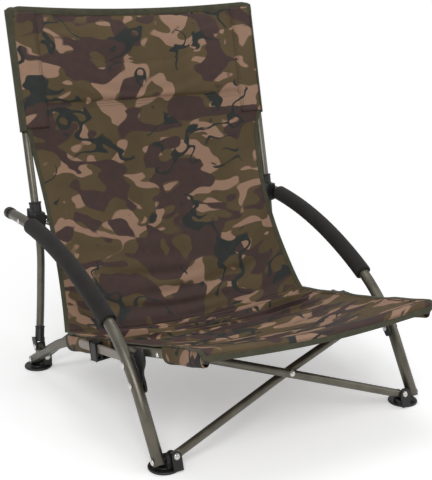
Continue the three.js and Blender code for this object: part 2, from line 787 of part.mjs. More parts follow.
function collarAssembly(name, side) {
  const boreRadius = poleRadius + boreGap;
  const armInner = armAtDepth(collarBlock.front).x - armTubeRadius - 2 * seatGap;
  const inner = rearPinHigh.x + crossEnd + crossRadius * 0.8;
  const body = block(
    v3(inner, collarBlock.front, collarBlock.bottom),
    v3(armInner, collarBlock.rear, collarBlock.top),
  );
  const blockMiddle = poleAtHeight((collarBlock.bottom + collarBlock.top) / 2);
  const sleeve = bar(blockMiddle, poleAtHeight(collarTopZ), collarRadius, 16);
  const [, rearEar] = fork(rearPinHigh, rearward, outward.clone().negate(), (centre) => inner + seatGap - centre.x);
  const armPin = legPoint(collarPinY, collarPinZ);
  const whole = build(body, { add: [sleeve, rearEar] });
  const corner = collarShoulder;
  const shoulderCut = (y, sign) => {
    const wedge = new THREE.BoxGeometry(4 * corner * collarRadius, 2 * corner, 2 * corner);
    wedge.rotateX(Math.PI / 4);
    return wedge.translate(armInner, y + sign * corner * 0.35, collarBlock.top + corner * 0.35);
  };
  const armClear = block(
    v3(armInner, collarBlock.front - cutOverrun, collarBlock.bottom - cutOverrun),
    v3(armInner + 2 * collarRadius, collarBlock.rear + cutOverrun, collarPinZ + armTubeRadius + 2 * seatGap),
  );
  const collar = build(whole, {
    cut: [
      bar(poleAtHeight(collarBlock.bottom - collarRadius), poleAtHeight(collarTopZ + collarRadius), boreRadius, 16),
      armClear,
      shoulderCut(collarBlock.rear, 1),
      hole(...pinAcross(rearPinHigh, rearward)),
      hole(alongPin(armPin, legNormal, poleX), armPin),
    ],
  });
  add(`collar_${name}`, collar, blackPlastic, side);
  const tubeHead = rearPinHigh.clone().addScaledVector(rearward, -crossRadius - seatGap);
  const tubeTail = rearPinHigh.clone().addScaledVector(rearward, crossRadius - seatGap);
  add(`collar_rivet_${name}`, rivet(tubeHead, tubeTail, true), nickel, side);
}

// The two crossed pairs: each tube starts at the foot on its own side
function crossTube(low, high, normal, layer, rivetLine) {
  const path = crossTubePath(low, high, normal, layer);
  const tube = sweep(ringShape(crossRadius, tubeWall), path, 2, 5);
  const top = mirrored(high);
  return build(tube, {
    cut: [hole(...pinAcross(low, normal)), hole(...pinAcross(top, normal)), hole(...rivetLine)],
  });
}

function crossingRivet(crossing, normal) {
  const half = 2 * crossRadius + crossGap / 2 + seatGap;
  return [crossing.clone().addScaledVector(normal, -half), crossing.clone().addScaledVector(normal, half)];
}

function wholeFrame() {
  const right = new THREE.Group();
  const left = new THREE.Group();
  left.scale.x = -1;
  chair.add(right, left);
  for (const [name, side] of [['right', right], ['left', left]]) {
    legAssembly(name, side);
    railAssembly(name, side);
    collarAssembly(name, side);
    const layer = name === 'right' ? ahead : behind;
    const front = crossingRivet(frontCrossing, frontNormal);
    const rear = crossingRivet(rearCrossing, rearward);
    add(`front_cross_tube_${name}`, crossTube(frontPinLow, frontPinHigh, frontNormal, layer, front), gunmetal, side);
    add(`rear_cross_tube_${name}`, crossTube(rearPinLow, rearPinHigh, rearward, layer, rear), gunmetal, side);
  }
  add('front_crossing_rivet', rivet(...crossingRivet(frontCrossing, frontNormal)), nickel);
  for (const [name, layer] of [['rear_crossing_rivet', behind], ['rear_crossing_stud', ahead]]) {
    const head = rearCrossing.clone().addScaledVector(rearward, layer * (pairOffset + crossRadius + seatGap));
    const tail = rearCrossing.clone().addScaledVector(rearward, layer * (crossGap / 2 + seatGap));
    add(name, rivet(head, tail, true), nickel);
  }
}

// Sling
const backEdgeAt = (z) =>
  backEdgeLow + (backEdgeHigh - backEdgeLow) * clamp01((z - backBottomZ) / (poleSleeveBottom - backBottomZ));
const seatEdgeX = (y) => railPoint(y, 0).x + railWidth / 2;
const hang = (u) => (1 - u ** 2) ** 1.3; // share of the sag across the width
const smooth = (t) => t * t * (3 - 2 * t);
const clamp01 = (t) => Math.min(1, Math.max(0, t));

// A cloth of even thickness: columns across, rows along, each placed by `surface(u, v)`
function clothSheet(columns, rows, surface, normalOf) {
  const positions = [];
  const index = [];
  const stride = columns + 1;
  for (const side of [-0.5, 0.5]) {
    for (let j = 0; j <= rows; j += 1) {
      for (let i = 0; i <= columns; i += 1) {
        const u = (2 * i) / columns - 1;
        const point = surface(u, j / rows).addScaledVector(normalOf(j / rows), side * clothThickness);
        positions.push(point.x, point.y, point.z);
      }
    }
  }
  const layerSize = stride * (rows + 1);
  const at = (side, i, j) => side * layerSize + j * stride + i;
  const quad = (a, b, c, d) => index.push(a, b, c, a, c, d);
  for (let j = 0; j < rows; j += 1) {
    for (let i = 0; i < columns; i += 1) {
      quad(at(1, i, j), at(1, i + 1, j), at(1, i + 1, j + 1), at(1, i, j + 1));
      quad(at(0, i, j), at(0, i, j + 1), at(0, i + 1, j + 1), at(0, i + 1, j));
    }
  }
  for (let i = 0; i < columns; i += 1) {
    quad(at(0, i, 0), at(0, i + 1, 0), at(1, i + 1, 0), at(1, i, 0));
    quad(at(0, i, rows), at(1, i, rows), at(1, i + 1, rows), at(0, i + 1, rows));
  }
  for (let j = 0; j < rows; j += 1) {
    quad(at(0, 0, j), at(1, 0, j), at(1, 0, j + 1), at(0, 0, j + 1));
    quad(at(0, columns, j), at(0, columns, j + 1), at(1, columns, j + 1), at(1, columns, j));
  }
  const geometry = new THREE.BufferGeometry();
  geometry.setAttribute('position', new THREE.Float32BufferAttribute(positions, 3));
  geometry.setIndex(index);
  return geometry;
}

function sling() {
  const seatNormal = v3(0, Math.sin(railSlope), Math.cos(railSlope));
  const seatSurface = (u, v) => {
    const y = seatFrontY + (seatRearY - seatFrontY) * v;
    const sag = seatSagFront + (seatSagMiddle - seatSagFront) * Math.sin(Math.PI * Math.min(1, v * 0.9));
    const fold = seatFoldDepth * Math.cos((2 * Math.PI * (y + u * seatFoldPitch)) / (seatFoldPitch * 3)) * smooth(v);
    const dip = hang(u) * (sag + fold);
    return v3(u * seatEdgeX(y), y, railHeightAt(y) + clothRise - dip);
  };
  let seat = toSolid(clothSheet(12, 13, seatSurface, () => seatNormal));
  for (const side of [1, -1]) {
    for (const [from, to] of [frontSleeve, rearSleeve]) {
      const ends = [railAt(from), railAt(to)].map((point) => v3(side * point.x, point.y, point.z));
      const line = new THREE.LineCurve3(...ends);
      const lining = ovalShape(railHeight + 2 * (sleeveClearance + sleeveWall), railWidth + 2 * (sleeveClearance + sleeveWall), sleeveWall);
      seat = seat.add(toSolid(new THREE.ExtrudeGeometry(lining, { extrudePath: line, steps: 1, curveSegments: 5, bevelEnabled: false })));
    }
  }
  add('sling_seat', toGeometry(seat), camouflage);

  const backNormal = v3(0, -poleUp.z, poleUp.y);
  const bend = poleAtHeight(backBendZ).setX(0).addScaledVector(backNormal, frontLift);
  const foot = v3(0, backJointY, backBottomZ);
  const lowNormal = v3(0, foot.z - bend.z, bend.y - foot.y).normalize();
  const heightAt = (v) => backBottomZ + (backTopZ - backBottomZ) * v;
  const normalAt = (v) => {
    const share = smooth(clamp01((heightAt(v) - backBendZ) / (2 * backFoldPitch) + 0.5));
    return lowNormal.clone().lerp(backNormal, share).normalize();
  };
  const spineAt = (z) =>
    z < backBendZ
      ? foot.clone().lerp(bend, (z - foot.z) / (bend.z - foot.z))
      : poleAtHeight(z).setX(0).addScaledVector(backNormal, frontLift);
  const backSurface = (u, v) => {
    const spine = spineAt(heightAt(v));
    const sag = backTopSag + (backSag - backTopSag) * (1 - v);
    const fold = backFoldDepth * Math.cos((2 * Math.PI * spine.z) / backFoldPitch) * (1 - smooth(clamp01(v * 2)));
    return v3(u * backEdgeAt(spine.z), spine.y, spine.z).addScaledVector(normalAt(v), -hang(u) * (sag + fold));
  };
  let back = toSolid(clothSheet(12, 15, backSurface, normalAt));
  for (const side of [1, -1]) {
    const ends = [poleSleeveBottom, poleSleeveTop].map((z) => poleAtHeight(z).multiply(v3(side, 1, 1)));
    const line = new THREE.LineCurve3(...ends);
    const lining = ringShape(poleRadius + sleeveClearance + sleeveWall, sleeveWall);
    back = back.add(toSolid(new THREE.ExtrudeGeometry(lining, { extrudePath: line, steps: 1, curveSegments: 6, bevelEnabled: false })));
  }
  add('sling_back', toGeometry(back), camouflage);

  const padSurface = (u, v) => {
    const z = padBottom + (padTop - padBottom) * v;
    const share = (z - backBottomZ) / (backTopZ - backBottomZ);
    const across = (u * (backEdgeAt(z) - padInset)) / backEdgeAt(z);
    const face = backSurface(across, share);
    const swell = (1 - u ** 6) * (1 - (2 * v - 1) ** 6);
    return { face, swell };
  };
  const pad = clothSheet(12, 8, (u, v) => padSurface(u, v).face, () => v3(0, 0, 0));
  const position = pad.getAttribute('position');
  const half = position.count / 2;
  for (let i = 0; i < position.count; i += 1) {
    const k = i % half;
    const u = (2 * (k % 13)) / 12 - 1;
    const v = Math.floor(k / 13) / 8;
    const { face, swell } = padSurface(u, v);
    const front = i >= half ? clothThickness / 2 + seatGap + padEdge + padThickness * swell : clothThickness / 2 + seatGap;
    face.addScaledVector(backNormal, front);
    position.setXYZ(i, face.x, face.y, face.z);
  }
  add('headrest_pad', pad, camouflage);
}

wholeFrame();
sling();

// The origin lies under the middle of the chair's width and depth
const extent = new THREE.Box3().setFromObject(chair, true);
chair.position.y = -(extent.min.y + extent.max.y) / 2;

export default chair;
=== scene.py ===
# %% [markdown]
# # A low folding fishing chair
# A bent-tube frame folds sideways like two pairs of scissors and carries a camouflage sling.
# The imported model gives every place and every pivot. This lesson dresses it: tube by tube,
# fitting by fitting, and at last the cloth. Lengths are written in millimetres, as on a drawing.

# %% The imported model
import json
import math

import bmesh
import bpy
import numpy as np
from mathutils import Matrix, Vector


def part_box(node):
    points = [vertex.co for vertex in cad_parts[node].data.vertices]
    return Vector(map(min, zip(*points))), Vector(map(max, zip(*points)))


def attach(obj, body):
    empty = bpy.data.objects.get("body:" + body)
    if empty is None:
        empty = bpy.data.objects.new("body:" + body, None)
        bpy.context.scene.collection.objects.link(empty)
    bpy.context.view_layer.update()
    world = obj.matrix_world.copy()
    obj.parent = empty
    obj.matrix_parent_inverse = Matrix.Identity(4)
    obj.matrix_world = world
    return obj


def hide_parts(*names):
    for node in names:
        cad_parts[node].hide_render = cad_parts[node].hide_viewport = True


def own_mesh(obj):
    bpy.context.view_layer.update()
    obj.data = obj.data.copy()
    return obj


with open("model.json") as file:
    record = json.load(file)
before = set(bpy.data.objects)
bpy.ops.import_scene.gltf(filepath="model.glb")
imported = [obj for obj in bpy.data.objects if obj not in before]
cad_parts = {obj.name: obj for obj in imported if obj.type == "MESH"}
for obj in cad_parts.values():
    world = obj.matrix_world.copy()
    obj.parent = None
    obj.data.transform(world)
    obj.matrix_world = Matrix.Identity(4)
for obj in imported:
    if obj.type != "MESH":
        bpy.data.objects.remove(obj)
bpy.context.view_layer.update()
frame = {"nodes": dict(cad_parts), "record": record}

body_of = {node: body for body, nodes in frame["record"]["behaviour"]["bodies"].items() for node in nodes}

# %% [markdown]
# ## Places
# The drawing of the chair measures Y from the line of the front feet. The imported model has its
# origin under the middle of the chair, so one shift takes the drawing's places to the model's.

# %% From the drawing's millimetres to the model's metres
MM = 0.001
disc_radius = 29
foot_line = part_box("front_foot_left")[0].y + disc_radius * MM


def metres(points):
    return np.asarray(points, dtype=float).reshape(-1, 3) * MM + np.array([0, foot_line, 0])


def millimetres(places):
    """The way back, from the model's metres to the drawing's millimetres."""
    return (places - [0, foot_line, 0]) / MM


def places_of(mesh):
    """A mesh's points as rows of X, Y and Z, in metres."""
    places = np.empty(len(mesh.vertices) * 3)
    mesh.vertices.foreach_get("co", places)
    return places.reshape(-1, 3)


def lengths_along(points):
    """How far along a line each of its points lies."""
    return np.concatenate([[0], np.cumsum(np.linalg.norm(np.diff(points, axis=0), axis=1))])


def unit(vector):
    vector = np.asarray(vector, dtype=float)
    return vector / np.linalg.norm(vector)


def smooth(t):
    t = np.clip(t, 0, 1)
    return t * t * (3 - 2 * t)


print("front feet at y =", round(foot_line, 4))

# %% [markdown]
# ## Tube lines
# Each tube is a line in a side plane with a few bends. The two side planes lean outwards to the
# rear, so a place in the plane gets its X from its Y. Bends are arcs for the arms and rounded
# corners for the rest, with the same radii as in the model.

# %% The lines of the arm, the rail, the pole and the crossed tubes
leg_plane, leg_splay = 284, 0.042
rail_plane, rail_splay = 245.1, 0.111
pole_x, pole_lean = 284, math.radians(14.2)
arm_radius, tube_radius, rail_half, play = 11, 8, 6, 0.6
# Places in the side planes, as Y and Z.
rail_tip, rail_knee, rail_heel = (-86, 227), (392, 104), (530, 18)
leg_pin, knuckle_pin, ear_pin = (-8.0, 20.0), (45, 190.3), (498, 59.5)
arm_pin_y = 503


def arm_line(spacing=5):
    heading, y, z = math.radians(57), *leg_pin
    y, z = y - 8 * math.cos(heading), z - 8 * math.sin(heading)
    line = [(y, z)]
    for run in (113, (340, 28), (860, 0), 38):
        if isinstance(run, tuple):
            radius, target = run
            sweep = math.radians(target) - heading
            side, count = math.copysign(1, sweep), max(4, round(abs(sweep) * radius / spacing))
            start = (y, z)
            for k in range(1, count + 1):
                turned = heading + sweep * k / count
                y = start[0] + side * radius * (math.sin(turned) - math.sin(heading))
                z = start[1] - side * radius * (math.cos(turned) - math.cos(heading))
                line.append((y, z))
            heading += sweep
        else:
            y, z = y + run * math.cos(heading), z + run * math.sin(heading)
            line.append((y, z))
    return np.array([(leg_plane + leg_splay * y, y, z) for y, z in line])


def rounded(corners, radius, steps=8):
    corners = [np.asarray(c, dtype=float) for c in corners]
    line = [corners[0]]
    for before, here, after in zip(corners, corners[1:], corners[2:]):
        enter, leave = here + unit(before - here) * radius, here + unit(after - here) * radius
        for t in np.linspace(0, 1, steps + 1):
            line.append((1 - t) ** 2 * enter + 2 * t * (1 - t) * here + t * t * leave)
    line.append(corners[-1])
    return np.array(line)


def rail_point(y, z):
    return np.array([rail_plane + rail_splay * y, y, z])


rail_slope = math.atan2(rail_tip[1] - rail_knee[1], rail_knee[0] - rail_tip[0])
rail_rear_slope = math.atan2(rail_knee[1] - rail_heel[1], rail_heel[0] - rail_knee[0])


def rail_height(y):
    knee_y, knee_z = rail_knee
    if y < knee_y:
        return knee_z + (knee_y - y) * math.tan(rail_slope)
    return knee_z - (y - knee_y) * math.tan(rail_rear_slope)


rail_end = rail_point(rail_heel[0] + 6 * math.cos(rail_rear_slope),
                      rail_heel[1] - 6 * math.sin(rail_rear_slope))
rail_line = rounded([rail_point(*rail_tip), rail_point(*rail_knee), rail_end], 45)

pole_foot = rail_point(*ear_pin)
pole_up = np.array([0, math.sin(pole_lean), math.cos(pole_lean)])
pole_low, pole_high = np.array([pole_x, 524, 143.0]), np.array([pole_x, 508, 266.0])
pole_foot_up = unit(pole_low - pole_foot)


def pole_at(z):
    return pole_high + pole_up * (z - pole_high[2]) / pole_up[2]


back_top = 748
pole_line = rounded([pole_foot + 14 * pole_foot_up, pole_low, pole_high, pole_at(back_top - 6)], 38)
rail_across = unit([1, -rail_splay, 0])
flip = np.array([-1.0, 1.0, 1.0])


def crossing_of(low, high):
    share = low[0] / (low[0] + high[0])
    return low + (high * flip - low) * share


def cross_line(low, high, normal, layer):
    run = unit(high * flip - low)
    middle, top = crossing_of(low, high) + normal * layer * 8.8, high * flip
    corners = [low - 3 * run, low + 24 * run, middle - 34 * run, middle + 34 * run, top - 24 * run,
               top + 3 * run]
    return rounded(corners, 12)


front_low, front_high = np.array([254.5, -10, 23.0]), np.array([231, *knuckle_pin])
front_up = unit(front_high * [0, 1, 1] - front_low * [0, 1, 1])
front_normal = np.cross(front_up, [1, 0, 0])
rear_low, rear_high = np.array([278, 524, 24.0]), np.array([264, 524, 322.0])
rear_normal = np.array([0, 1.0, 0])
arm_path = arm_line()
arm_steps = lengths_along(arm_path)


def along_arm(distance):
    return np.array([np.interp(distance + 8, arm_steps, arm_path[:, i]) for i in range(3)])


arm_reach = float(np.interp(arm_pin_y, arm_path[:, 1], arm_steps)) - 8
foam_ends = (arm_reach - 1.8 - 352, arm_reach - 1.8)
print("arm", round(arm_steps[-1]), "mm long, foam from", [round(v) for v in foam_ends])

# %% [markdown]
# ## Finishes
# Paint, moulded nylon, nickel and foam are hard to tell apart by colour alone: all are dark.
# What tells them apart is how rough they are and how fine their grain is. So each finish gets its
# own roughness, a little variation in colour, and a bump at the scale of the real surface.

# %% A short way to write a material's nodes
class Finish:
    def __init__(self, name):
        self.material = bpy.data.materials.new(name)
        self.material.use_nodes = True
        self.tree = self.material.node_tree
        self.shader = self.tree.nodes["Principled BSDF"]

    def node(self, kind, inputs=(), **settings):
        node = self.tree.nodes.new(kind)
        for key, value in settings.items():
            setattr(node, key, value)
        for key, value in dict(inputs).items():
            self.put(node.inputs[key], value)
        return node

    def put(self, socket, value):
        if isinstance(value, bpy.types.NodeSocket):
            self.tree.links.new(value, socket)
        else:
            socket.default_value = value

    def set(self, **values):
        for key, value in values.items():
            self.put(self.shader.inputs[key.replace("_", " ")], value)
        return self

    def math(self, operation, a, b=0.0, clamp=False):
        return self.node("ShaderNodeMath", {0: a, 1: b}, operation=operation, use_clamp=clamp).outputs[0]

    def noise(self, where, scale, detail=2.0, roughness=0.5, seed=0.0):
        inputs = {"Vector": where, "W": seed, "Scale": scale, "Detail": detail, "Roughness": roughness}
        return self.node("ShaderNodeTexNoise", inputs, noise_dimensions="4D")

    def mix(self, share, a, b):
        node = self.node("ShaderNodeMix", data_type="RGBA")
        for socket, value in ((node.inputs["Factor"], share), (node.inputs[6], a), (node.inputs[7], b)):
            self.put(socket, value)
        return node.outputs[2]

    def spread(self, value, low, high, to_low=0.0, to_high=1.0, kind="SMOOTHSTEP"):
        inputs = {"Value": value, "From Min": low, "From Max": high, "To Min": to_low, "To Max": to_high}
        return self.node("ShaderNodeMapRange", inputs, interpolation_type=kind, clamp=True).outputs[0]

    def where(self, kind="Object", scale=(1, 1, 1), turn=(0, 0, 0), shift=(0, 0, 0)):
        source = self.node("ShaderNodeTexCoord").outputs[kind]
        return self.node("ShaderNodeMapping",
                         {"Vector": source, "Scale": scale, "Rotation": turn, "Location": shift}).outputs[0]

    def bump(self, height, strength, distance):
        node = self.node("ShaderNodeBump", {"Height": height, "Strength": strength, "Distance": distance})
        self.put(self.shader.inputs["Normal"], node.outputs[0])
        return self


def srgb(red, green, blue):
    return tuple(((c / 255 + 0.055) / 1.055) ** 2.4 if c > 10 else c / 255 / 12.92 for c in (red, green,
                                                                                             blue)) + (1.0,)


print("mid grey, 128 of 255, is", round(srgb(128, 128, 128)[0], 3), "in linear light")

# %% [markdown]
# The tubes are powder coated in a metallic olive grey. Powder coat has a slight orange peel, and
# its metal flakes vary the gloss from place to place. Both are noise, one slow and one fine.

# %% Powder coat, bar paint, nylon, nickel and foam
def powder_coat(name, dark, light, metal, rough):
    coat = Finish(name)
    here = coat.where()
    slow, fine = coat.noise(here, 38.0, 3.0), coat.noise(here, 1400.0, 1.0)
    tone = coat.math("ADD", coat.math("MULTIPLY", slow.outputs[0], 0.7),
                     coat.math("MULTIPLY", fine.outputs[0], 0.3))
    coat.set(Base_Color=coat.mix(coat.spread(tone, 0.35, 0.65), dark, light), Metallic=metal)
    coat.set(Roughness=coat.spread(slow.outputs[0], 0.3, 0.7, rough - 0.05, rough + 0.07))
    coat.bump(coat.noise(here, 620.0, 2.0).outputs[0], 0.12, 0.0004)
    return coat.material


gunmetal = powder_coat("gunmetal powder coat", srgb(96, 92, 82), srgb(112, 108, 97), 0.72, 0.36)
bar_paint = powder_coat("grey-brown bar paint", srgb(138, 130, 121), srgb(152, 145, 136), 0.45, 0.42)


def moulded(name, dark, light, rough, grain, depth):
    nylon = Finish(name)
    here = nylon.where()
    slow, fine = nylon.noise(here, 26.0, 3.0), nylon.noise(here, grain, 2.0, 0.6)
    nylon.set(Base_Color=nylon.mix(nylon.spread(slow.outputs[0], 0.35, 0.65), dark, light))
    nylon.set(Roughness=nylon.spread(slow.outputs[0], 0.3, 0.7, rough - 0.06, rough + 0.08))
    nylon.bump(fine.outputs[0], 0.35, depth)
    return nylon


black_nylon = moulded("black moulded nylon", srgb(20, 20, 20), srgb(31, 31, 30), 0.46, 900.0,
                      0.0003).material
foam_finish = moulded("charcoal foam", srgb(33, 31, 30), srgb(43, 41, 39), 0.86, 1300.0, 0.0006)
foam_finish.set(Sheen_Weight=0.06, Sheen_Roughness=0.6, Specular_IOR_Level=0.25)
foam_rubber = foam_finish.material

nickel_finish = Finish("bright nickel plate")
nickel_place = nickel_finish.where()
nickel_grain = nickel_finish.noise(nickel_place, 260.0, 3.0)
nickel_finish.set(Base_Color=nickel_finish.mix(nickel_grain.outputs[0], srgb(196, 194, 188),
                                               srgb(226, 224, 219)), Metallic=1.0)
nickel_finish.set(Roughness=nickel_finish.spread(nickel_grain.outputs[0], 0.3, 0.7, 0.16, 0.3))
nickel_finish.bump(nickel_finish.noise(nickel_place, 1500.0, 1.0).outputs[0], 0.05, 0.0002)
nickel = nickel_finish.material
print("rigid finishes:", [m.name for m in bpy.data.materials])

# %% [markdown]
# ## The camouflage cloth
# Woodland camouflage is printed in four inks: an olive ground, then tan and plum patches with
# round lobes, then thin slate branches on top. Each ink here is one smooth noise, bent by a second
# noise, and cut at a level. The pattern reads the cloth's own UV, in metres, so it follows the
# folds and keeps its scale. Two fine wave textures make the warp and weft threads.

# %% Camouflage and webbing
def ink(cloth, uv, scale, stretch, turn, seed, level, edge=0.012, warp=0.045, bend=5.0):
    here = cloth.node("ShaderNodeMapping", {"Vector": uv, "Rotation": (0, 0, turn),
                                            "Scale": (stretch, 1, 1)}).outputs[0]
    push = cloth.noise(here, bend, 1.0, 0.4, seed + 3.7)
    offset = cloth.node("ShaderNodeVectorMath", {0: push.outputs["Color"], 1: (0.5, 0.5, 0.5)},
                        operation="SUBTRACT").outputs[0]
    offset = cloth.node("ShaderNodeVectorMath", {0: offset, 3: warp * 4}, operation="SCALE").outputs[0]
    bent = cloth.node("ShaderNodeVectorMath", {0: here, 1: offset}, operation="ADD").outputs[0]
    field = cloth.noise(bent, scale, 0.6, 0.35, seed)
    return field.outputs[0], cloth.spread(field.outputs[0], level - edge, level + edge)


def woven(cloth, uv, pitch, strength, depth):
    threads = []
    for axis in ("X", "Y"):
        wave = cloth.node("ShaderNodeTexWave",
                          {"Vector": uv, "Scale": 0.314 / pitch, "Distortion": 0.4, "Detail": 1.0},
                          bands_direction=axis)
        threads.append(wave.outputs["Fac"])
    weave = cloth.math("MULTIPLY", threads[0], threads[1])
    crumple = cloth.noise(uv, 55.0, 3.0, 0.55).outputs[0]
    height = cloth.math("ADD", weave, cloth.math("MULTIPLY", crumple, 0.9))
    return cloth.bump(height, strength, depth), crumple


camo = Finish("camouflage cloth")
uv = camo.node("ShaderNodeTexCoord").outputs["UV"]
ground = camo.mix(camo.spread(camo.noise(uv, 9.0, 2.0).outputs[0], 0.35, 0.65), srgb(86, 72, 49),
                  srgb(95, 80, 56))
_, tan_share = ink(camo, uv, 19.0, 0.62, 0.5, 2.3, 0.56, warp=0.05, bend=15.0)
_, plum_share = ink(camo, uv, 17.0, 0.6, -0.4, 8.9, 0.545, warp=0.05, bend=15.0)
branch, _ = ink(camo, uv, 14.0, 0.7, 0.9, 5.1, 0.5, warp=0.05, bend=17.0)
ridge = camo.math("ABSOLUTE", camo.math("SUBTRACT", branch, 0.5))
ridge_share = camo.spread(ridge, 0.026, 0.036, 1.0, 0.0)
_, part_share = ink(camo, uv, 10.0, 0.8, 0.2, 14.2, 0.505, warp=0.04)
slate_share = camo.math("MULTIPLY", ridge_share, part_share)
print_colour = camo.mix(tan_share, ground, srgb(160, 128, 107))
print_colour = camo.mix(plum_share, print_colour, srgb(70, 54, 52))
print_colour = camo.mix(slate_share, print_colour, srgb(42, 48, 47))
_, crumple = woven(camo, uv, 0.0011, 0.35, 0.0005)
faded = camo.mix(camo.spread(crumple, 0.3, 0.75, 0.0, 0.1), print_colour, srgb(120, 104, 86))
camo.set(Base_Color=faded, Specular_IOR_Level=0.2)
camo.set(Roughness=camo.spread(crumple, 0.3, 0.7, 0.6, 0.74))
camouflage = camo.material

tape = Finish("olive webbing")
tape_uv = tape.node("ShaderNodeTexCoord").outputs["UV"]
_, tape_wear = woven(tape, tape_uv, 0.0016, 0.5, 0.0006)
tape.set(Base_Color=tape.mix(tape.spread(tape_wear, 0.3, 0.7), srgb(62, 62, 46), srgb(78, 76, 58)))
tape.set(Roughness=tape.spread(tape_wear, 0.3, 0.7, 0.7, 0.82), Sheen_Weight=0.1, Specular_IOR_Level=0.3)
webbing = tape.material

thread_finish = moulded("sewing thread", srgb(58, 54, 42), srgb(80, 74, 58), 0.7, 2200.0, 0.0002)
thread = thread_finish.material
print("all finishes:", len(bpy.data.materials))

# %% [markdown]
# ## From points to pieces
# Every piece ends as a mesh whose object sits at the origin, rides on one body of the model and
# hides the solids that it stands for. Two small helpers do that, so no piece is left behind.

# %% Making a piece
scene = bpy.context.scene


def lay_flat(mesh, uv):
    """Gives each point its place on the flat cloth, in metres."""
    corner = np.empty(len(mesh.loops), dtype=np.int32)
    mesh.loops.foreach_get("vertex_index", corner)
    layer = mesh.uv_layers.new(name="cloth")
    layer.data.foreach_set("uv", uv[corner].astype(np.float32).ravel())


def mesh_of(name, points, faces, finish, uv=None, crisp=35):
    mesh = bpy.data.meshes.new(name)
    mesh.from_pydata([tuple(p) for p in metres(points)], [], [tuple(int(i) for i in f) for f in faces])
    mesh.materials.append(finish)
    if uv is not None:
        lay_flat(mesh, np.asarray(uv, dtype=float) * MM)
    mesh.shade_smooth()
    if crisp:
        mesh.set_sharp_from_angle(angle=math.radians(crisp))
    made = bpy.data.objects.new(name, mesh)
    scene.collection.objects.link(made)
    return made


def outward(mesh):
    work = bmesh.new()
    work.from_mesh(mesh)
    bmesh.ops.remove_doubles(work, verts=work.verts, dist=1e-6)
    bmesh.ops.recalc_face_normals(work, faces=work.faces)
    work.to_mesh(mesh)
    work.free()


def settle(piece, slot, *nodes, body=None):
    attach(piece, body or body_of[nodes[0]])
    if nodes:
        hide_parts(*nodes)
    return piece


def bevelled(piece, width=0.6, segments=2, angle=40):
    bevel = piece.modifiers.new("worn edges", "BEVEL")
    bevel.width, bevel.segments, bevel.limit_method = width * MM, segments, "ANGLE"
    bevel.angle_limit = math.radians(angle)
    bevel.harden_normals = True
    return piece


def walled(piece, thickness, offset=-1.0):
    wall = piece.modifiers.new("wall", "SOLIDIFY")
    wall.thickness, wall.offset, wall.use_even_offset = thickness * MM, offset, True
    return piece


# %% [markdown]
# ## A node tree for every tube
# A tube is a section carried along a line, so one Geometry Nodes tree makes all of them: arms,
# poles, crossed tubes, foam sleeves and the flat-sided rails. The section is a circle whose upper
# and lower halves are moved apart by the flat, which turns it into the rail's oval.

# %% The tree "tube along a line"
def new_tree(name, inputs):
    tree = bpy.data.node_groups.new(name, "GeometryNodeTree")
    tree.interface.new_socket("Geometry", in_out="INPUT", socket_type="NodeSocketGeometry")
    for title, kind, value in inputs:
        socket = tree.interface.new_socket(title, in_out="INPUT", socket_type="NodeSocket" + kind)
        if value is not None:
            socket.default_value = value
    tree.interface.new_socket("Geometry", in_out="OUTPUT", socket_type="NodeSocketGeometry")
    return tree, tree.nodes.new("NodeGroupInput"), tree.nodes.new("NodeGroupOutput")


def step(tree, kind, inputs=(), **settings):
    node = tree.nodes.new(kind)
    for key, value in settings.items():
        setattr(node, key, value)
    for key, value in dict(inputs).items():
        if isinstance(value, bpy.types.NodeSocket):
            tree.links.new(value, node.inputs[key])
        else:
            node.inputs[key].default_value = value
    return node


def reckon(tree, operation, a, b=0.0):
    """One sum in a tree; gives its result's socket."""
    return step(tree, "ShaderNodeMath", {0: a, 1: b}, operation=operation).outputs[0]


def last_steps(tree, geometry, finish, end):
    real = step(tree, "GeometryNodeRealizeInstances", {0: geometry})
    painted = step(tree, "GeometryNodeSetMaterial", {"Geometry": real.outputs[0], "Material": finish})
    tree.links.new(painted.outputs[0], end.inputs[0])


tube_tree, given, end = new_tree("tube along a line", [
    ("Width", "Float", 0.016), ("Flat", "Float", 0.0), ("Sides", "Int", 32), ("Finish", "Material", None)])
line = step(tube_tree, "GeometryNodeMeshToCurve", {0: given.outputs["Geometry"]})
level = step(tube_tree, "GeometryNodeSetCurveNormal", {0: line.outputs[0]}, mode="Z_UP")
tube_half = reckon(tube_tree, "MULTIPLY", given.outputs["Width"], 0.5)
ring = step(tube_tree, "GeometryNodeCurvePrimitiveCircle",
            {"Resolution": given.outputs["Sides"], "Radius": tube_half})
place = step(tube_tree, "ShaderNodeSeparateXYZ",
             {0: step(tube_tree, "GeometryNodeInputPosition").outputs[0]})
way = reckon(tube_tree, "SIGN", place.outputs["Y"])
lift = reckon(tube_tree, "MULTIPLY", way, given.outputs["Flat"])
lift = reckon(tube_tree, "MULTIPLY", lift, 0.5)
offset = step(tube_tree, "ShaderNodeCombineXYZ", {"Y": lift})
section = step(tube_tree, "GeometryNodeSetPosition",
               {"Geometry": ring.outputs[0], "Offset": offset.outputs[0]})
chosen = step(tube_tree, "GeometryNodeSwitch",
              {"Switch": given.outputs["Flat"], "False": line.outputs[0], "True": level.outputs[0]},
              input_type="GEOMETRY")
skin = step(tube_tree, "GeometryNodeCurveToMesh", {0: chosen.outputs[0], 1: section.outputs[0]})
soft = step(tube_tree, "GeometryNodeSetShadeSmooth", {0: skin.outputs[0]})
last_steps(tube_tree, soft.outputs[0], given.outputs["Finish"], end)


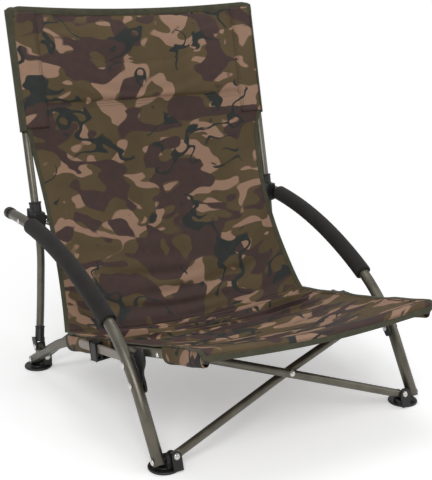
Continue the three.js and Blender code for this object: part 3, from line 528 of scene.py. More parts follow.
def grown(name, start, tree, values):
    """Runs a tree on a start mesh and gives its result as a plain mesh piece."""
    seed = bpy.data.objects.new(name + " seed", start)
    scene.collection.objects.link(seed)
    modifier = seed.modifiers.new("tree", "NODES")
    modifier.node_group = tree
    names = {item.name: item.identifier for item in tree.interface.items_tree if item.in_out == "INPUT"}
    for title, value in values.items():
        modifier[names[title]] = value
    seed.update_tag()
    bpy.context.view_layer.update()
    evaluated = seed.evaluated_get(bpy.context.evaluated_depsgraph_get())
    mesh = bpy.data.meshes.new_from_object(evaluated)
    mesh.name = name
    seed.modifiers.remove(modifier)
    bpy.data.objects.remove(seed)
    made = bpy.data.objects.new(name, mesh)
    scene.collection.objects.link(made)
    return made


def line_mesh(points):
    mesh = bpy.data.meshes.new("line")
    points = metres(points)
    mesh.from_pydata([tuple(p) for p in points], [(i, i + 1) for i in range(len(points) - 1)], [])
    return mesh


def tube(name, line, width, finish, flat=0.0, wall=1.2, sides=32):
    values = {"Width": width * MM, "Flat": flat * MM, "Sides": sides, "Finish": finish}
    made = grown(name, line_mesh(line), tube_tree, values)
    outward(made.data)
    made.data.shade_smooth()
    return walled(made, wall) if wall else made


print("tree:", tube_tree.name, "with", len(tube_tree.nodes), "nodes")

# %% [markdown]
# ## The tube frame
# Arms and legs are one bent 22 mm tube on each side. Poles and crossed tubes are 16 mm, and the
# seat rails are a flat-sided oval, 20 by 12 mm. Each is drawn out as a thin skin and then given a
# 1.2 mm wall, so that an open end shows a real bore.

# %% Arms, rails, poles and crossed tubes
sides = (("right", 1), ("left", -1))
for side, sign in sides:
    turned = np.array([sign, 1.0, 1.0])
    settle(tube(f"arm_{side}_tube", arm_path * turned, 22, gunmetal, sides=40), "tube_gunmetal",
           f"arm_tube_{side}")
    settle(tube(f"rail_{side}_tube", rail_line * turned, 12, gunmetal, flat=8), "tube_gunmetal",
           f"side_rail_{side}")
    settle(tube(f"pole_{side}_tube", pole_line * turned, 16, gunmetal), "tube_gunmetal",
           f"back_pole_{side}")
    layer = -1 if side == "right" else 1
    mirror = 1 if side == "right" else flip
    front = cross_line(front_low, front_high, front_normal, layer) * mirror
    rear = cross_line(rear_low, rear_high, rear_normal, layer) * mirror
    settle(tube(f"front_tube_{side}", front, 16, gunmetal), "tube_gunmetal", f"front_cross_tube_{side}")
    settle(tube(f"rear_tube_{side}", rear, 16, gunmetal), "tube_gunmetal", f"rear_cross_tube_{side}")

# %% [markdown]
# ## Moulded fittings
# Feet, knuckles, collars and brackets are moulded nylon. Each is built from a few closed forms:
# a turned disc, a plate cut from an outline, a block. They overlap as the real mould's ribs do,
# and one bevel rounds all their edges together.

# %% A collection of closed forms
def frame_at(along, up):
    w = unit(along)
    v = unit(np.asarray(up, dtype=float) - w * np.dot(up, w))
    return np.cross(v, w), v, w


class Moulding:
    def __init__(self):
        self.points, self.faces = [], []

    def loft(self, rings):
        """Skins closed rings of equal count and caps both ends."""
        base, count = len(self.points), len(rings[0])
        for ring in rings:
            self.points.extend(np.asarray(ring, dtype=float).tolist())
        for k in range(len(rings) - 1):
            a, b = base + k * count, base + (k + 1) * count
            for i in range(count):
                j = (i + 1) % count
                self.faces.append((a + i, a + j, b + j, b + i))
        self.faces.append(tuple(range(base + count - 1, base - 1, -1)))
        last = base + (len(rings) - 1) * count
        self.faces.append(tuple(range(last, last + count)))
        return self

    def plate(self, outline, thickness, centre, normal, up=(0, 0, 1)):
        u, v, w = frame_at(normal, up)
        flat = [np.asarray(centre) + a * u + b * v for a, b in outline]
        return self.loft([[p - w * thickness / 2 for p in flat], [p + w * thickness / 2 for p in flat]])

    def turned(self, profile, centre, axis=(0, 0, 1), up=(0, 1, 0), count=48):
        u, v, w = frame_at(axis, up)
        angles = np.linspace(0, 2 * math.pi, count, endpoint=False)
        centre = np.asarray(centre)
        rings = [[centre + w * z + r * (u * math.cos(t) + v * math.sin(t)) for t in angles]
                 for r, z in profile]
        return self.loft(rings)

    def block(self, low, high):
        (x0, y0, z0), (x1, y1, z1) = low, high
        ring = lambda z: [(x0, y0, z), (x1, y0, z), (x1, y1, z), (x0, y1, z)]
        return self.loft([ring(z0), ring(z1)])

    def piece(self, name, finish, side, edge=0.6, crisp=35, segments=2):
        points = np.array(self.points) * (1 if side == "right" else flip)
        made = mesh_of(name, points, self.faces, finish, crisp=None)
        outward(made.data)
        made.data.shade_smooth()
        made.data.set_sharp_from_angle(angle=math.radians(crisp))
        return bevelled(made, edge, segments) if edge else made


def ear(radius, drop, count=20):
    arc = [(radius * math.cos(t), radius * math.sin(t)) for t in np.linspace(0, math.pi, count)]
    return [(-radius, -drop), (radius, -drop)] + arc


fork_half = tube_radius + play + 2
print("fork ears at", fork_half, "mm each side of a tube")

# %% [markdown]
# A foot is a flat disc that swivels on its rivets, so it stands level on a bank. The disc is
# turned, with a rounded rim and a raised ring; a lug takes the leg, and two ears take the crossed
# tube.

# %% The four feet
def foot(name, node, centre, lug_pin, lug_face, cross_pin, normal, up, side):
    form = Moulding()
    rim = [(27.6, 0), (29, 1.4), (29, 3.7), (28.2, 4.8), (26.4, 5.2), (23.4, 5.2), (22.6, 4.5), (16.5, 4.5),
           (15.6, 6.8), (13.5, 7.6)]
    form.turned(rim, centre, count=72)
    form.turned([(24.5, 0.05), (24.5, 0.6)], centre, count=48)
    base = 2.6
    lug_centre = (lug_face - 3.5, lug_pin[1], lug_pin[2])
    form.plate(ear(11, lug_pin[2] - base), 7, lug_centre, (1, 0, 0))
    for reach in (-fork_half, fork_half):
        spot = cross_pin + normal * reach
        form.plate(ear(9.5, (spot[2] - base) / up[2]), 4, spot, normal, up)
    top = cross_pin[2] - tube_radius - play - 0.9
    form.block((cross_pin[0] - 9.5, cross_pin[1] - fork_half, base),
               (lug_face - 0.3, cross_pin[1] + fork_half, top))
    made = form.piece(name, black_nylon, side, edge=0.8)
    return settle(made, "black_plastic", node)


up_front = np.array([0, front_up[1], front_up[2]])
for side, _ in sides:
    pin = np.array([leg_plane + leg_splay * leg_pin[0], *leg_pin])
    face = leg_plane + leg_splay * (leg_pin[0] - 11) - arm_radius - 0.4
    foot(f"front_{side}_foot", f"front_foot_{side}", (268, 0, 0), pin, face, front_low, front_normal,
         up_front, side)
    pin = rail_point(*rail_heel)
    face = rail_point(rail_heel[0] - 11, 0)[0] - rail_half - 0.4
    foot(f"rear_{side}_foot", f"rear_foot_{side}", (293.5, 529, 0), pin, face, rear_low, rear_normal,
         np.array([0, 0, 1.0]), side)

# %% [markdown]
# The knuckle joins a front crossed tube to its rail. The ferrule is the black socket at the foot of
# a pole: two cheeks straddle the ear on the rail. The collar slides up the pole when the chair
# folds, and its block carries the arm's rear end.

# %% Knuckles, ferrules, ears and collars
for side, _ in sides:
    knuckle_y, knuckle_z = knuckle_pin
    face = rail_point(knuckle_y - 12, 0)[0] - rail_half - 0.3
    knuckle = Moulding().block((face - 3, knuckle_y - 12, knuckle_z - 12),
                               (face, knuckle_y + 12, knuckle_z + 8.4))
    for reach in (-fork_half, fork_half):
        spot = front_high + front_normal * reach
        knuckle.plate(ear(9.5, face - 0.3 - spot[0]), 4, spot, front_normal, (-1, 0, 0))
    settle(knuckle.piece(f"knuckle_{side}_fork", black_nylon, side, 0.8), "black_plastic",
           f"rail_knuckle_{side}")

    ferrule = Moulding()
    socket_profile = [(10.6, 9.4), (10.8, 10), (10.8, 17), (9.4, 19), (9.4, 38.5), (10.2, 39), (10.2, 41.4),
                      (9.6, 42), (8.5, 42)]
    ferrule.turned(socket_profile, pole_foot, pole_foot_up, (0, 1, 0), 40)
    cheek_up = unit([0, pole_foot_up[1], pole_foot_up[2]])
    for reach in (-1, 1):
        spot = pole_foot + rail_across * reach * (rail_half + 0.4 + 2)
        ferrule.plate(ear(8, 21), 4, spot, rail_across, -cheek_up)
    settle(ferrule.piece(f"ferrule_{side}", black_nylon, side, 0.5), "black_plastic",
           f"pole_ferrule_{side}")

    carrier = Moulding().plate(ear(8, ear_pin[1] - rail_height(ear_pin[0])), 10.8, pole_foot, rail_across)
    settle(carrier.piece(f"rail_{side}_ear", gunmetal, side, 0.8), "tube_gunmetal", body=f"rail_{side}")

    armed = float(np.interp(arm_pin_y, arm_path[:, 1], arm_path[:, 0])) - arm_radius - play
    inner = 264 + 3 + 6.4
    collar = Moulding().block((inner, 503, 306), (armed, 556, 344))
    middle, top = pole_at(325), pole_at(362)
    rise = np.linalg.norm(top - middle)
    collar.turned([(12, 0), (12, rise - 4), (13, rise - 3.6), (13, rise - 1), (12, rise), (8.6, rise)],
                  middle, pole_up, (0, 1, 0), 40)
    collar.turned([(8.6, 0), (12, 0.6), (12, 22)], pole_at(301), pole_up, (0, 1, 0), 40)
    spot = rear_high + rear_normal * fork_half
    collar.plate(ear(9.5, inner + 0.3 - spot[0]), 4, spot, rear_normal, (-1, 0, 0))
    settle(collar.piece(f"collar_{side}_slider", black_nylon, side, 1.4, segments=3), "black_plastic",
           f"collar_{side}")
print("collar rise:", round(rise, 1), "mm")

# %% [markdown]
# The bracket on the leg has a shoulder that reaches up behind the rail. The prop is a grey-brown
# flat bar from the bracket's upper rivet to a black saddle, which cradles the rail's sleeve.

# %% Brackets, props and saddles
def curve_to(points, control, target, count=6):
    start, control, target = (np.array(p) for p in (points[-1], control, target))
    for t in np.linspace(0, 1, count + 1)[1:]:
        points.append(tuple((1 - t) ** 2 * start + 2 * t * (1 - t) * control + t * t * target))


def slab(form, origin, axes, a_ends, b_ends, c_ends):
    """Adds a box, given by its ends along three axes of its own."""
    along, above, aside = axes
    (b0, b1), (c0, c1) = b_ends, c_ends
    corners = ((b0, c0), (b1, c0), (b1, c1), (b0, c1))
    form.loft([[origin + along * a + above * b + aside * c for b, c in corners] for a in a_ends])


length, low_edge, reach = 72, 8.8, 40
shoulder = [(6, -low_edge), (length - 6, -low_edge)]
for control, target in (((length, -low_edge), (length, 0)), ((length, reach * 0.6), (length, reach * 0.6)),
                        ((length, reach), (length * 0.8, reach)),
                        ((length * 0.58, reach), (length * 0.5, reach * 0.55)),
                        ((length * 0.42, low_edge), (length * 0.2, low_edge)), ((0, low_edge), (0, 0)),
                        ((0, -low_edge), (6, -low_edge))):
    curve_to(shoulder, control, target)
shoulder = shoulder[:-1]
for side, _ in sides:
    inner = along_arm(118)[0] - arm_radius - 0.3 - 4
    way = along_arm(155) - along_arm(153)
    way = unit([0, way[1], way[2]])
    across = np.array([0, -way[2], way[1]])
    start = along_arm(154.5) - way * length / 2
    origin = np.array([inner + 2, start[1], start[2]])
    flat = [origin + a * way + b * across for a, b in shoulder]
    thick = np.array([2.0, 0, 0])
    bracket = Moulding().loft([[p - thick for p in flat], [p + thick for p in flat]])
    inset = [origin + (a * 0.8 + length * 0.13) * way + (b * 0.62 + 4) * across for a, b in shoulder]
    bracket.loft([[p - thick * 1.35 for p in inset], [p - thick * 0.5 for p in inset]])
    settle(bracket.piece(f"bracket_{side}_shoulder", black_nylon, side, 0.7), "black_plastic",
           f"leg_bracket_{side}")

    pivot = np.array([265.0711, 93.282, 161.694])
    drop = math.radians(6.5)
    far = np.array([298, pivot[1] + 182 * math.cos(drop), pivot[2] - 182 * math.sin(drop)])
    run = far - pivot
    along, reach_mm = unit(run), np.linalg.norm(run)
    aside = unit(np.cross(along, [0, 0, 1]))
    above = np.cross(aside, along)
    quarter = math.pi / 2
    near_end, far_end = np.linspace(quarter, 3 * quarter, 16), np.linspace(-quarter, quarter, 16)
    ring = [(8.5 * math.cos(t), 8.5 * math.sin(t)) for t in near_end]
    ring += [(reach_mm + 8.5 * math.cos(t), 8.5 * math.sin(t)) for t in far_end]
    spots = [pivot + a * along + b * above for a, b in ring]
    prop = Moulding().loft([[p - aside * 3 for p in spots], [p + aside * 3 for p in spots]])
    settle(prop.piece(f"prop_{side}_bar", bar_paint, side, 1.6, segments=3), "bar_grey_brown",
           f"prop_{side}")

    saddle = Moulding()
    own_axes = (along, above, aside)
    for ends in ((-24, 12.8, -7.3, -3.3), (-24, 12.8, 3.3, 7.3), (8.8, 12.8, -7.3, 7.3),
                 (-24, -20, -25.3, 7.3)):
        slab(saddle, pivot, own_axes, (128, 148), ends[:2], ends[2:])
    slab(saddle, pivot, own_axes, (136, 140), (-21, -9), (-25.3, -5))
    settle(saddle.piece(f"saddle_{side}", black_nylon, side, 1.0, segments=3), "black_plastic",
           f"prop_saddle_{side}")
print("prop", round(reach_mm), "mm long")

# %% [markdown]
# ## Foam arm grips and caps
# The grip is a closed-cell foam sleeve pushed over the tube. It is the tube tree again with a wider
# section and a thick wall, and its ends are rounded by a bevel. A small dark gap stays between foam
# and tube, where the sleeve stands away from the bend.

# %% Foam grips, tube caps and plugs
def stretch_of(path, steps, start, stop, count):
    spots = np.linspace(start, stop, count)
    return np.array([[np.interp(s + 8, steps, path[:, i]) for i in range(3)] for s in spots])


def oval(tip, axes, grow, out):
    """The rail's section, at a distance out from the tube's end."""
    u, v, w = axes
    ring = []
    for t in np.linspace(0, 2 * math.pi, 32, endpoint=False):
        lift = 4 * np.sign(round(math.sin(t), 6))
        ring.append(tip + w * out + u * grow * math.cos(t) + v * (grow * math.sin(t) + lift))
    return ring


oval_profile = [(4.6, -5), (4.6, -0.1), (5.9, 0.05), (5.9, 1.6), (4.8, 2.4)]
cap_profile = [(11.05, -13), (12.0, -13), (12.3, -12.4), (12.3, 1.6), (11.6, 3.8), (9.4, 5.0), (5.5, 5.3)]
for side, sign in sides:
    turned = np.array([sign, 1.0, 1.0])
    grip = tube(f"grip_{side}_foam", stretch_of(arm_path, arm_steps, *foam_ends, 60) * turned, 34,
                foam_rubber, wall=5.1, sides=48)
    bevelled(grip, 1.3, 3, 50)
    settle(grip, "grip_foam", f"foam_grip_{side}")
    end, tangent = arm_path[-1], unit(arm_path[-1] - arm_path[-2])
    cap = Moulding().turned(cap_profile, end, tangent, (1, 0, 0), 40)
    settle(cap.piece(f"arm_{side}_cap", black_nylon, side, 0), "black_plastic", f"arm_end_cap_{side}")
    plugs = Moulding().turned([(6.6, -6), (6.6, 0.2), (8, 0.3), (8, 2), (6.8, 3.2), (3, 3.6)],
                              pole_line[-1], pole_up, (0, 1, 0), 32)
    settle(plugs.piece(f"pole_{side}_plug", black_nylon, side, 0), "black_plastic", body=f"pole_{side}")
    plugs = Moulding()
    for tip, before in ((rail_line[0], rail_line[1]), (rail_line[-1], rail_line[-2])):
        u, v, w = frame_at(tip - before, (0, 0, 1))
        plugs.loft([oval(tip, (u, v, w), grow, out) for grow, out in oval_profile])
    settle(plugs.piece(f"rail_{side}_plugs", black_nylon, side, 0), "black_plastic", body=f"rail_{side}")

# %% [markdown]
# ## Rivets
# Every pivot is a nickel rivet: a domed head, a thin washer, a shank, and a flatter tail. They
# differ only in place, direction and length, so one Geometry Nodes tree puts them all in. Each
# rivet's axis is measured on its solid: the two ends along its long axis, and which end has the dome.

# %% The tree "rivets"
rivet_tree, given, end = new_tree("rivets", [
    ("Head radius", "Float", 0.005), ("Head height", "Float", 0.0026), ("Shank radius", "Float", 0.0025),
    ("Sides", "Int", 28), ("Finish", "Material", None)])


def named(kind, name):
    return step(rivet_tree, "GeometryNodeInputNamedAttribute", {"Name": name}, data_type=kind).outputs[0]


aim = named("FLOAT_VECTOR", "aim")
upright = step(rivet_tree, "FunctionNodeAlignRotationToVector", {"Vector": aim}, axis="Z").outputs[0]


def head_form(height_share, radius_share, steps):
    tall = reckon(rivet_tree, "MULTIPLY", given.outputs["Head height"], height_share)
    tip = step(rivet_tree, "ShaderNodeCombineXYZ", {"Z": tall})
    stem = step(rivet_tree, "GeometryNodeCurvePrimitiveLine", {"End": tip.outputs[0]})
    stem = step(rivet_tree, "GeometryNodeResampleCurve", {"Curve": stem.outputs[0], "Count": steps})
    along = step(rivet_tree, "GeometryNodeSplineParameter").outputs["Factor"]
    left = reckon(rivet_tree, "SUBTRACT", 1.0, reckon(rivet_tree, "POWER", along, 2.6))
    round_off = reckon(rivet_tree, "POWER", reckon(rivet_tree, "MAXIMUM", left, 0.06), 0.5)
    wide = reckon(rivet_tree, "MULTIPLY", round_off, radius_share)
    wide = reckon(rivet_tree, "MULTIPLY", wide, given.outputs["Head radius"])
    ring = step(rivet_tree, "GeometryNodeCurvePrimitiveCircle",
                {"Resolution": given.outputs["Sides"], "Radius": 1.0})
    inputs = {0: stem.outputs[0], 1: ring.outputs[0], "Scale": wide, "Fill Caps": True}
    return step(rivet_tree, "GeometryNodeCurveToMesh", inputs).outputs[0]


def rod_form(radius_socket, radius_share, depth):
    wide = reckon(rivet_tree, "MULTIPLY", radius_socket, radius_share)
    rod = step(rivet_tree, "GeometryNodeMeshCylinder",
               {"Vertices": given.outputs["Sides"], "Radius": wide, "Depth": depth})
    lift = step(rivet_tree, "GeometryNodeTransform",
                {"Geometry": rod.outputs[0], "Translation": (0, 0, depth / 2)})
    return lift.outputs[0]


def kind_is(value):
    return step(rivet_tree, "FunctionNodeCompare",
                {"A": named("FLOAT", "kind"), "B": value, "Epsilon": 0.1},
                data_type="FLOAT", operation="EQUAL").outputs[0]


stretch = step(rivet_tree, "ShaderNodeCombineXYZ",
               {"X": 1.0, "Y": 1.0, "Z": named("FLOAT", "reach")}).outputs[0]
forms = [(head_form(1.0, 1.0, 9), 0, None), (head_form(0.55, 0.86, 5), 1, None),
         (rod_form(given.outputs["Head radius"], 1.14, 0.0005), 2, None),
         (rod_form(given.outputs["Shank radius"], 1.0, 1.0), 3, stretch)]
joined = step(rivet_tree, "GeometryNodeJoinGeometry")
for form, kind, size in forms:
    inputs = {"Points": given.outputs["Geometry"], "Selection": kind_is(float(kind)), "Instance": form,
              "Rotation": upright}
    if size is not None:
        inputs["Scale"] = size
    placed = step(rivet_tree, "GeometryNodeInstanceOnPoints", inputs)
    rivet_tree.links.new(placed.outputs[0], joined.inputs[0])
soft = step(rivet_tree, "GeometryNodeSetShadeSmooth", {0: joined.outputs[0]})
last_steps(rivet_tree, soft.outputs[0], given.outputs["Finish"], end)
print("tree:", rivet_tree.name, "with", len(rivet_tree.nodes), "nodes")

# %% Measuring the rivets and making them, one mesh for each body
def rivet_axis(node):
    spots = np.unique(places_of(frame["nodes"][node].data).round(6), axis=0)
    middle = (spots.max(0) + spots.min(0)) / 2
    for _ in range(2):
        _, _, axes = np.linalg.svd(spots - spots.mean(0))
        axis = axes[0]
        along = (spots - middle) @ axis
        first, last = np.abs(along - along.min()) < 4e-4, np.abs(along - along.max()) < 4e-4
        middle = spots[last].mean(0) / 2 + spots[first].mean(0) / 2
    along = (spots - middle) @ axis
    away = np.linalg.norm(spots - middle - np.outer(along, axis), axis=1)
    low, high = away[along < along.min() + 0.003].max(), away[along > along.max() - 0.003].max()
    if low < high:
        axis, along, low, high = -axis, -along, high, low
    return middle, axis, along.min(), along.max(), high > 0.003


rivets = {}
for node in frame["nodes"]:
    if "rivet" in node or "stud" in node or node.startswith("rail_pivot"):
        rivets.setdefault(body_of[node], []).append(node)
for body, nodes in sorted(rivets.items()):
    spots, aims, kinds, reaches = [], [], [], []
    for node in nodes:
        middle, axis, low, high, has_tail = rivet_axis(node)
        head, tail = middle + axis * (low + 0.0024), middle + axis * (high - (0.0012 if has_tail else 0))
        spots += [head, head, head]
        aims += [-axis, -axis, axis]
        kinds += [0, 2, 3]
        reaches += [1, 1, float(np.linalg.norm(tail - head))]
        if has_tail:
            spots += [tail, tail]
            aims += [axis, axis]
            kinds += [1, 2]
            reaches += [1, 1]
    start = bpy.data.meshes.new("rivet places")
    start.from_pydata([tuple(p) for p in spots], [], [])
    for title, sort, field, values in (("aim", "FLOAT_VECTOR", "vector", aims),
                                       ("kind", "FLOAT", "value", kinds),
                                       ("reach", "FLOAT", "value", reaches)):
        attribute = start.attributes.new(title, sort, "POINT")
        attribute.data.foreach_set(field, np.array(values, dtype=np.float32).ravel())
    made = grown(f"rivets_{body}", start, rivet_tree, {"Finish": nickel})
    made.data.set_sharp_from_angle(angle=math.radians(40))
    settle(made, "rivet_nickel", *nodes, body=body)

# %% [markdown]
# ## Camera, floor and light
# The camera's place and lens were solved from the chair's own points, so the render can be laid
# over the photograph. The floor is white to the camera and keeps the chair's soft shadow.

# %% Camera
eye = Vector((-0.9916, -1.6524, 0.8469))
yaw, pitch, roll = math.radians(30.88), math.radians(15.73), math.radians(0.36)
forward = Vector((math.sin(yaw) * math.cos(pitch), math.cos(yaw) * math.cos(pitch), -math.sin(pitch)))
right = Vector((math.cos(yaw), -math.sin(yaw), 0))
above = right.cross(forward)
level_right = math.cos(roll) * right + math.sin(roll) * above
level_up = -math.sin(roll) * right + math.cos(roll) * above
lens = bpy.data.cameras.new("camera")
lens.sensor_fit, lens.sensor_width, lens.lens = "AUTO", 36.0, 75.0
camera = bpy.data.objects.new("camera", lens)
camera.matrix_world = Matrix((
    (level_right.x, level_up.x, -forward.x, eye.x), (level_right.y, level_up.y, -forward.y, eye.y),
    (level_right.z, level_up.z, -forward.z, eye.z), (0, 0, 0, 1)))
scene.collection.objects.link(camera)
scene.camera = camera
print("lens", lens.lens, "mm")

# %% Floor, world and lamps
scene.view_settings.view_transform = "Standard"
ground = Finish("pale studio floor")
rays = ground.node("ShaderNodeLightPath")
plain = ground.math("MAXIMUM", rays.outputs["Is Camera Ray"], rays.outputs["Is Glossy Ray"])
from_chair = ground.node("ShaderNodeVectorMath", {0: ground.where(shift=(0.0, -0.05, 0.0))},
                         operation="LENGTH").outputs["Value"]
far = ground.spread(from_chair, 0.5, 1.15)
ground.set(Base_Color=(0.88, 0.88, 0.88, 1), Roughness=0.9, Specular_IOR_Level=0.1)
ground.set(Emission_Color=(1, 1, 1, 1), Emission_Strength=ground.math("MULTIPLY", plain, 0.36))
glow = ground.node("ShaderNodeEmission", {"Color": (1, 1, 1, 1), "Strength": 1.0}).outputs[0]
shade = ground.node("ShaderNodeMixShader", {0: ground.math("MULTIPLY", far, plain),
                                            1: ground.shader.outputs[0], 2: glow})
ground.tree.links.new(shade.outputs[0], ground.tree.nodes["Material Output"].inputs["Surface"])
floor_half = 6.0
floor_mesh = bpy.data.meshes.new("floor")
corners = [(x * floor_half, y * floor_half, 0) for x, y in ((-1, -1), (1, -1), (1, 1), (-1, 1))]
floor_mesh.from_pydata(corners, [], [(0, 1, 2, 3)])
floor_mesh.materials.append(ground.material)
floor = bpy.data.objects.new("floor", floor_mesh)
scene.collection.objects.link(floor)

world = bpy.data.worlds.new("white room")
world.use_nodes = True
scene.world = world
tree = world.node_tree
sky = tree.nodes["Background"]
sky.inputs["Color"].default_value = (1, 1, 1, 1)
ray = tree.nodes.new("ShaderNodeLightPath")
seen = tree.nodes.new("ShaderNodeMath")
seen.operation = "MULTIPLY_ADD"
tree.links.new(ray.outputs["Is Glossy Ray"], seen.inputs[0])
seen.inputs[1].default_value = 0.35
tree.links.new(ray.outputs["Is Camera Ray"], seen.inputs[2])
strength = tree.nodes.new("ShaderNodeMapRange")
strength.inputs["To Min"].default_value, strength.inputs["To Max"].default_value = 0.36, 1.0
tree.links.new(seen.outputs[0], strength.inputs["Value"])
tree.links.new(strength.outputs[0], sky.inputs["Strength"])


def lamp(name, place, aim_at, size, power):
    data = bpy.data.lights.new(name, "AREA")
    data.shape, data.size, data.energy = "DISK", size, power
    made = bpy.data.objects.new(name, data)
    made.location = place
    made.rotation_euler = (Vector(aim_at) - Vector(place)).to_track_quat("-Z", "Y").to_euler()
    scene.collection.objects.link(made)


lamp("key", (-1.6, -2.2, 2.6), (0, 0, 0.35), 1.8, 45)
lamp("fill", (2.2, -1.4, 1.6), (0, 0, 0.3), 2.2, 13)
lamp("top", (0.2, 0.6, 2.8), (0, 0, 0.3), 1.6, 19)

# %% [markdown]
# ## The sling
# Seat and back are one run of coated cloth. It hangs between the rails and between the poles, so
# it sags most in the middle, and its spare length gathers in deep pleats where back meets seat.
# The sheet is laid out as a grid: columns across, rows along. The sag comes from the model's own
# curve, the pleats are ridges set along curved lines, and a cloth simulation then lets it all settle.

# %% The seat's and the back's surfaces
back_bow = 24
back_out = np.array([0, -pole_up[2], pole_up[1]])
back_bottom, back_bend, sleeve_bottom, sleeve_top = 132.0, 466.0, 506, 737
bend_spot = pole_at(back_bend) * [0, 1, 1] + back_out * 11.5
back_start = np.array([0, 378, back_bottom])
low_out = unit([0, back_start[2] - bend_spot[2], bend_spot[1] - back_start[1]])
seat_out = np.array([0, math.sin(rail_slope), math.cos(rail_slope)])


def hang(u):
    return np.clip(1 - u**2, 0, 1) ** 1.3


def bow(z):
    """How far the free edge of the back, between seat and sleeve, gives way: 0 at both ends."""
    return np.sin(math.pi * np.clip((z - back_bottom) / (sleeve_bottom - back_bottom), 0, 1)) ** 0.8


def back_edge(z):
    flare = np.clip((sleeve_bottom - z) / (sleeve_bottom - back_bottom), 0, 1) ** 4
    return 284 + 5 * flare - 17 * bow(z)


def back_spine(z):
    if z < back_bend:
        line = back_start + (bend_spot - back_start) * (z - back_bottom) / (back_bend - back_bottom)
    else:
        line = pole_at(z) * [0, 1, 1] + back_out * 11.5
    return line + np.array([0, back_bow * float(bow(z)), 0])


def back_way(z):
    share = smooth((z - back_bend) / 68 + 0.5)
    return unit(low_out * (1 - share) + back_out * share)


print("back bows by", back_bow, "mm, hang in the middle", float(hang(0.0)))

# %% [markdown]
# A pleat is a ridge: a bell curve across its own line, with a narrow groove beside it where the
# cloth tucks under. Pleats could be sculpted by hand, but a table of lines is easier to shift and
# keeps them inside the model's box.

# %% Pleats, and the line where the seat turns up
def pleats(across, along, lines):
    """Height of a set of ridges: each has a place, a slope, a bow, a width, a height and a span across."""
    total = np.zeros_like(across)
    for centre, slope, curve, width, height, middle, span in lines:
        offset = (along - centre - slope * across - curve * across**2) / width
        crest = np.exp(-(offset**2)) - 0.9 * np.exp(-(((offset + 1.35) / 0.75) ** 2))
        total += height * crest * np.exp(-(((across - middle) / span) ** 4))
    return total


seat_pleats = [
    (366, 4, -10, 6, 13.0, 0.0, 0.92), (349, -14, -16, 6, 14.0, 0.05, 0.9),
    (330, 10, -18, 7, 15.0, 0.1, 0.86),
    (310, -16, -14, 7, 15.0, -0.12, 0.86), (289, 12, -16, 8, 13.0, 0.12, 0.82),
    (265, -22, -12, 9, 11.0, 0.0, 0.8),
    (238, 20, -14, 11, 8.0, 0.2, 0.74), (208, -26, -10, 13, 6.0, -0.1, 0.7),
    (172, 30, -10, 15, 4.2, 0.15, 0.62),
    (130, -24, -6, 18, 2.6, -0.1, 0.56), (84, 18, 0, 20, 1.8, 0.1, 0.5)]
back_pleats = [
    (12, 8, 8, 7, 6.0, 0.0, 0.88), (32, -10, 14, 8, 5.5, 0.1, 0.84), (56, 14, 18, 10, 4.6, -0.1, 0.78),
    (86, -24, 18, 13, 3.6, 0.05, 0.7), (126, -30, 16, 17, 2.4, -0.15, 0.6),
    (185, 60, 20, 20, 1.9, -0.3, 0.5),
    (262, 110, 0, 22, 1.8, -0.35, 0.5), (345, -70, 10, 24, 1.2, 0.3, 0.5)]


def crease(u):
    """The line across, where the seat turns up into the back."""
    return np.stack([u * 289.0, 378 + 18 * hang(u), 128 - 24 * hang(u)], axis=-1)


print("pleats:", len(seat_pleats), "in the seat and", len(back_pleats), "in the back")

# %% [markdown]
# The face swells over the headrest's padding, and at the front the seat turns down round a small
# lip. Both are added to the same surface, so the cloth stays one sheet.

# %% The headrest's swell and the front lip
pad_low, pad_high, seam_z = 611.0, 738.0, 551.0


def pad_lift(x, z):
    """How far the face stands out over the headrest's padding, from its lower seam upwards."""
    t = np.clip((z - seam_z) / (back_top - 8 - seam_z), 0, 1)
    rise = np.clip(1 - np.abs(2 * t - 1) ** 3, 0, 1) ** 0.6
    return 10.0 * rise * (1 - np.clip(np.abs(x) / 233, 0, 1) ** 9)


def joined(points, u, share):
    """Moves the rows near the crease so that the last one lies on it."""
    last = points[-1] if share[-1, 0] > share[0, 0] else points[0]
    return points + (crease(u[0]) - last)[None] * share[..., None]


lip_start, lip_radius, lip_turn, lip_drop = -76.0, 15.0, 1.4, 8.0


def seat_surface(u, run):
    """The seat by its run along the cloth; in front of the lip's start the run turns down."""
    ahead = np.clip(lip_start - run, 0, None)
    turn = np.clip(ahead / lip_radius, 0, lip_turn)
    hung = ahead - turn * lip_radius
    y = np.maximum(run, lip_start) - lip_radius * np.sin(turn) - hung * math.cos(lip_turn)
    drop = lip_radius * (1 - np.cos(turn)) + hung * math.sin(lip_turn)
    share = (y + 94) / 470
    sag = 10 + 16 * np.sin(math.pi * np.minimum(1, share * 0.9))
    line = rail_knee[1] + (rail_knee[0] - y) * math.tan(rail_slope)
    ridge = pleats(u, y, seat_pleats) * np.clip(1 - np.abs(u) ** 6, 0, 1)
    open_rail = smooth((y - 16) / 45) * smooth((202 - y) / 45)
    fall = hang(u) * (sag + 2) - ridge + 3.0 * open_rail * np.abs(u) ** 20
    corner = 18 - np.sqrt(np.clip(324 - np.clip(ahead - 12, 0, 16.5) ** 2, 0, None))
    wide = 6 + 7 * smooth((-30 - run) / 40)
    x = u * (rail_plane + rail_splay * y + wide) - np.sign(u) * np.abs(u) ** 9 * corner
    points = np.stack([x, y - 0.6 * np.clip(ridge, 0, None), line + 15.5 - fall - drop], axis=-1)
    return joined(points, u, smooth((run - 300) / 75))


print("padding from", pad_low, "to", pad_high, "mm up, seam at", seam_z)

# %% [markdown]
# The back is laid out by height, along its own spine. Each surface is then sampled on a grid, and
# the lengths along its rows give the flat cloth its map, so the print isn't stretched.

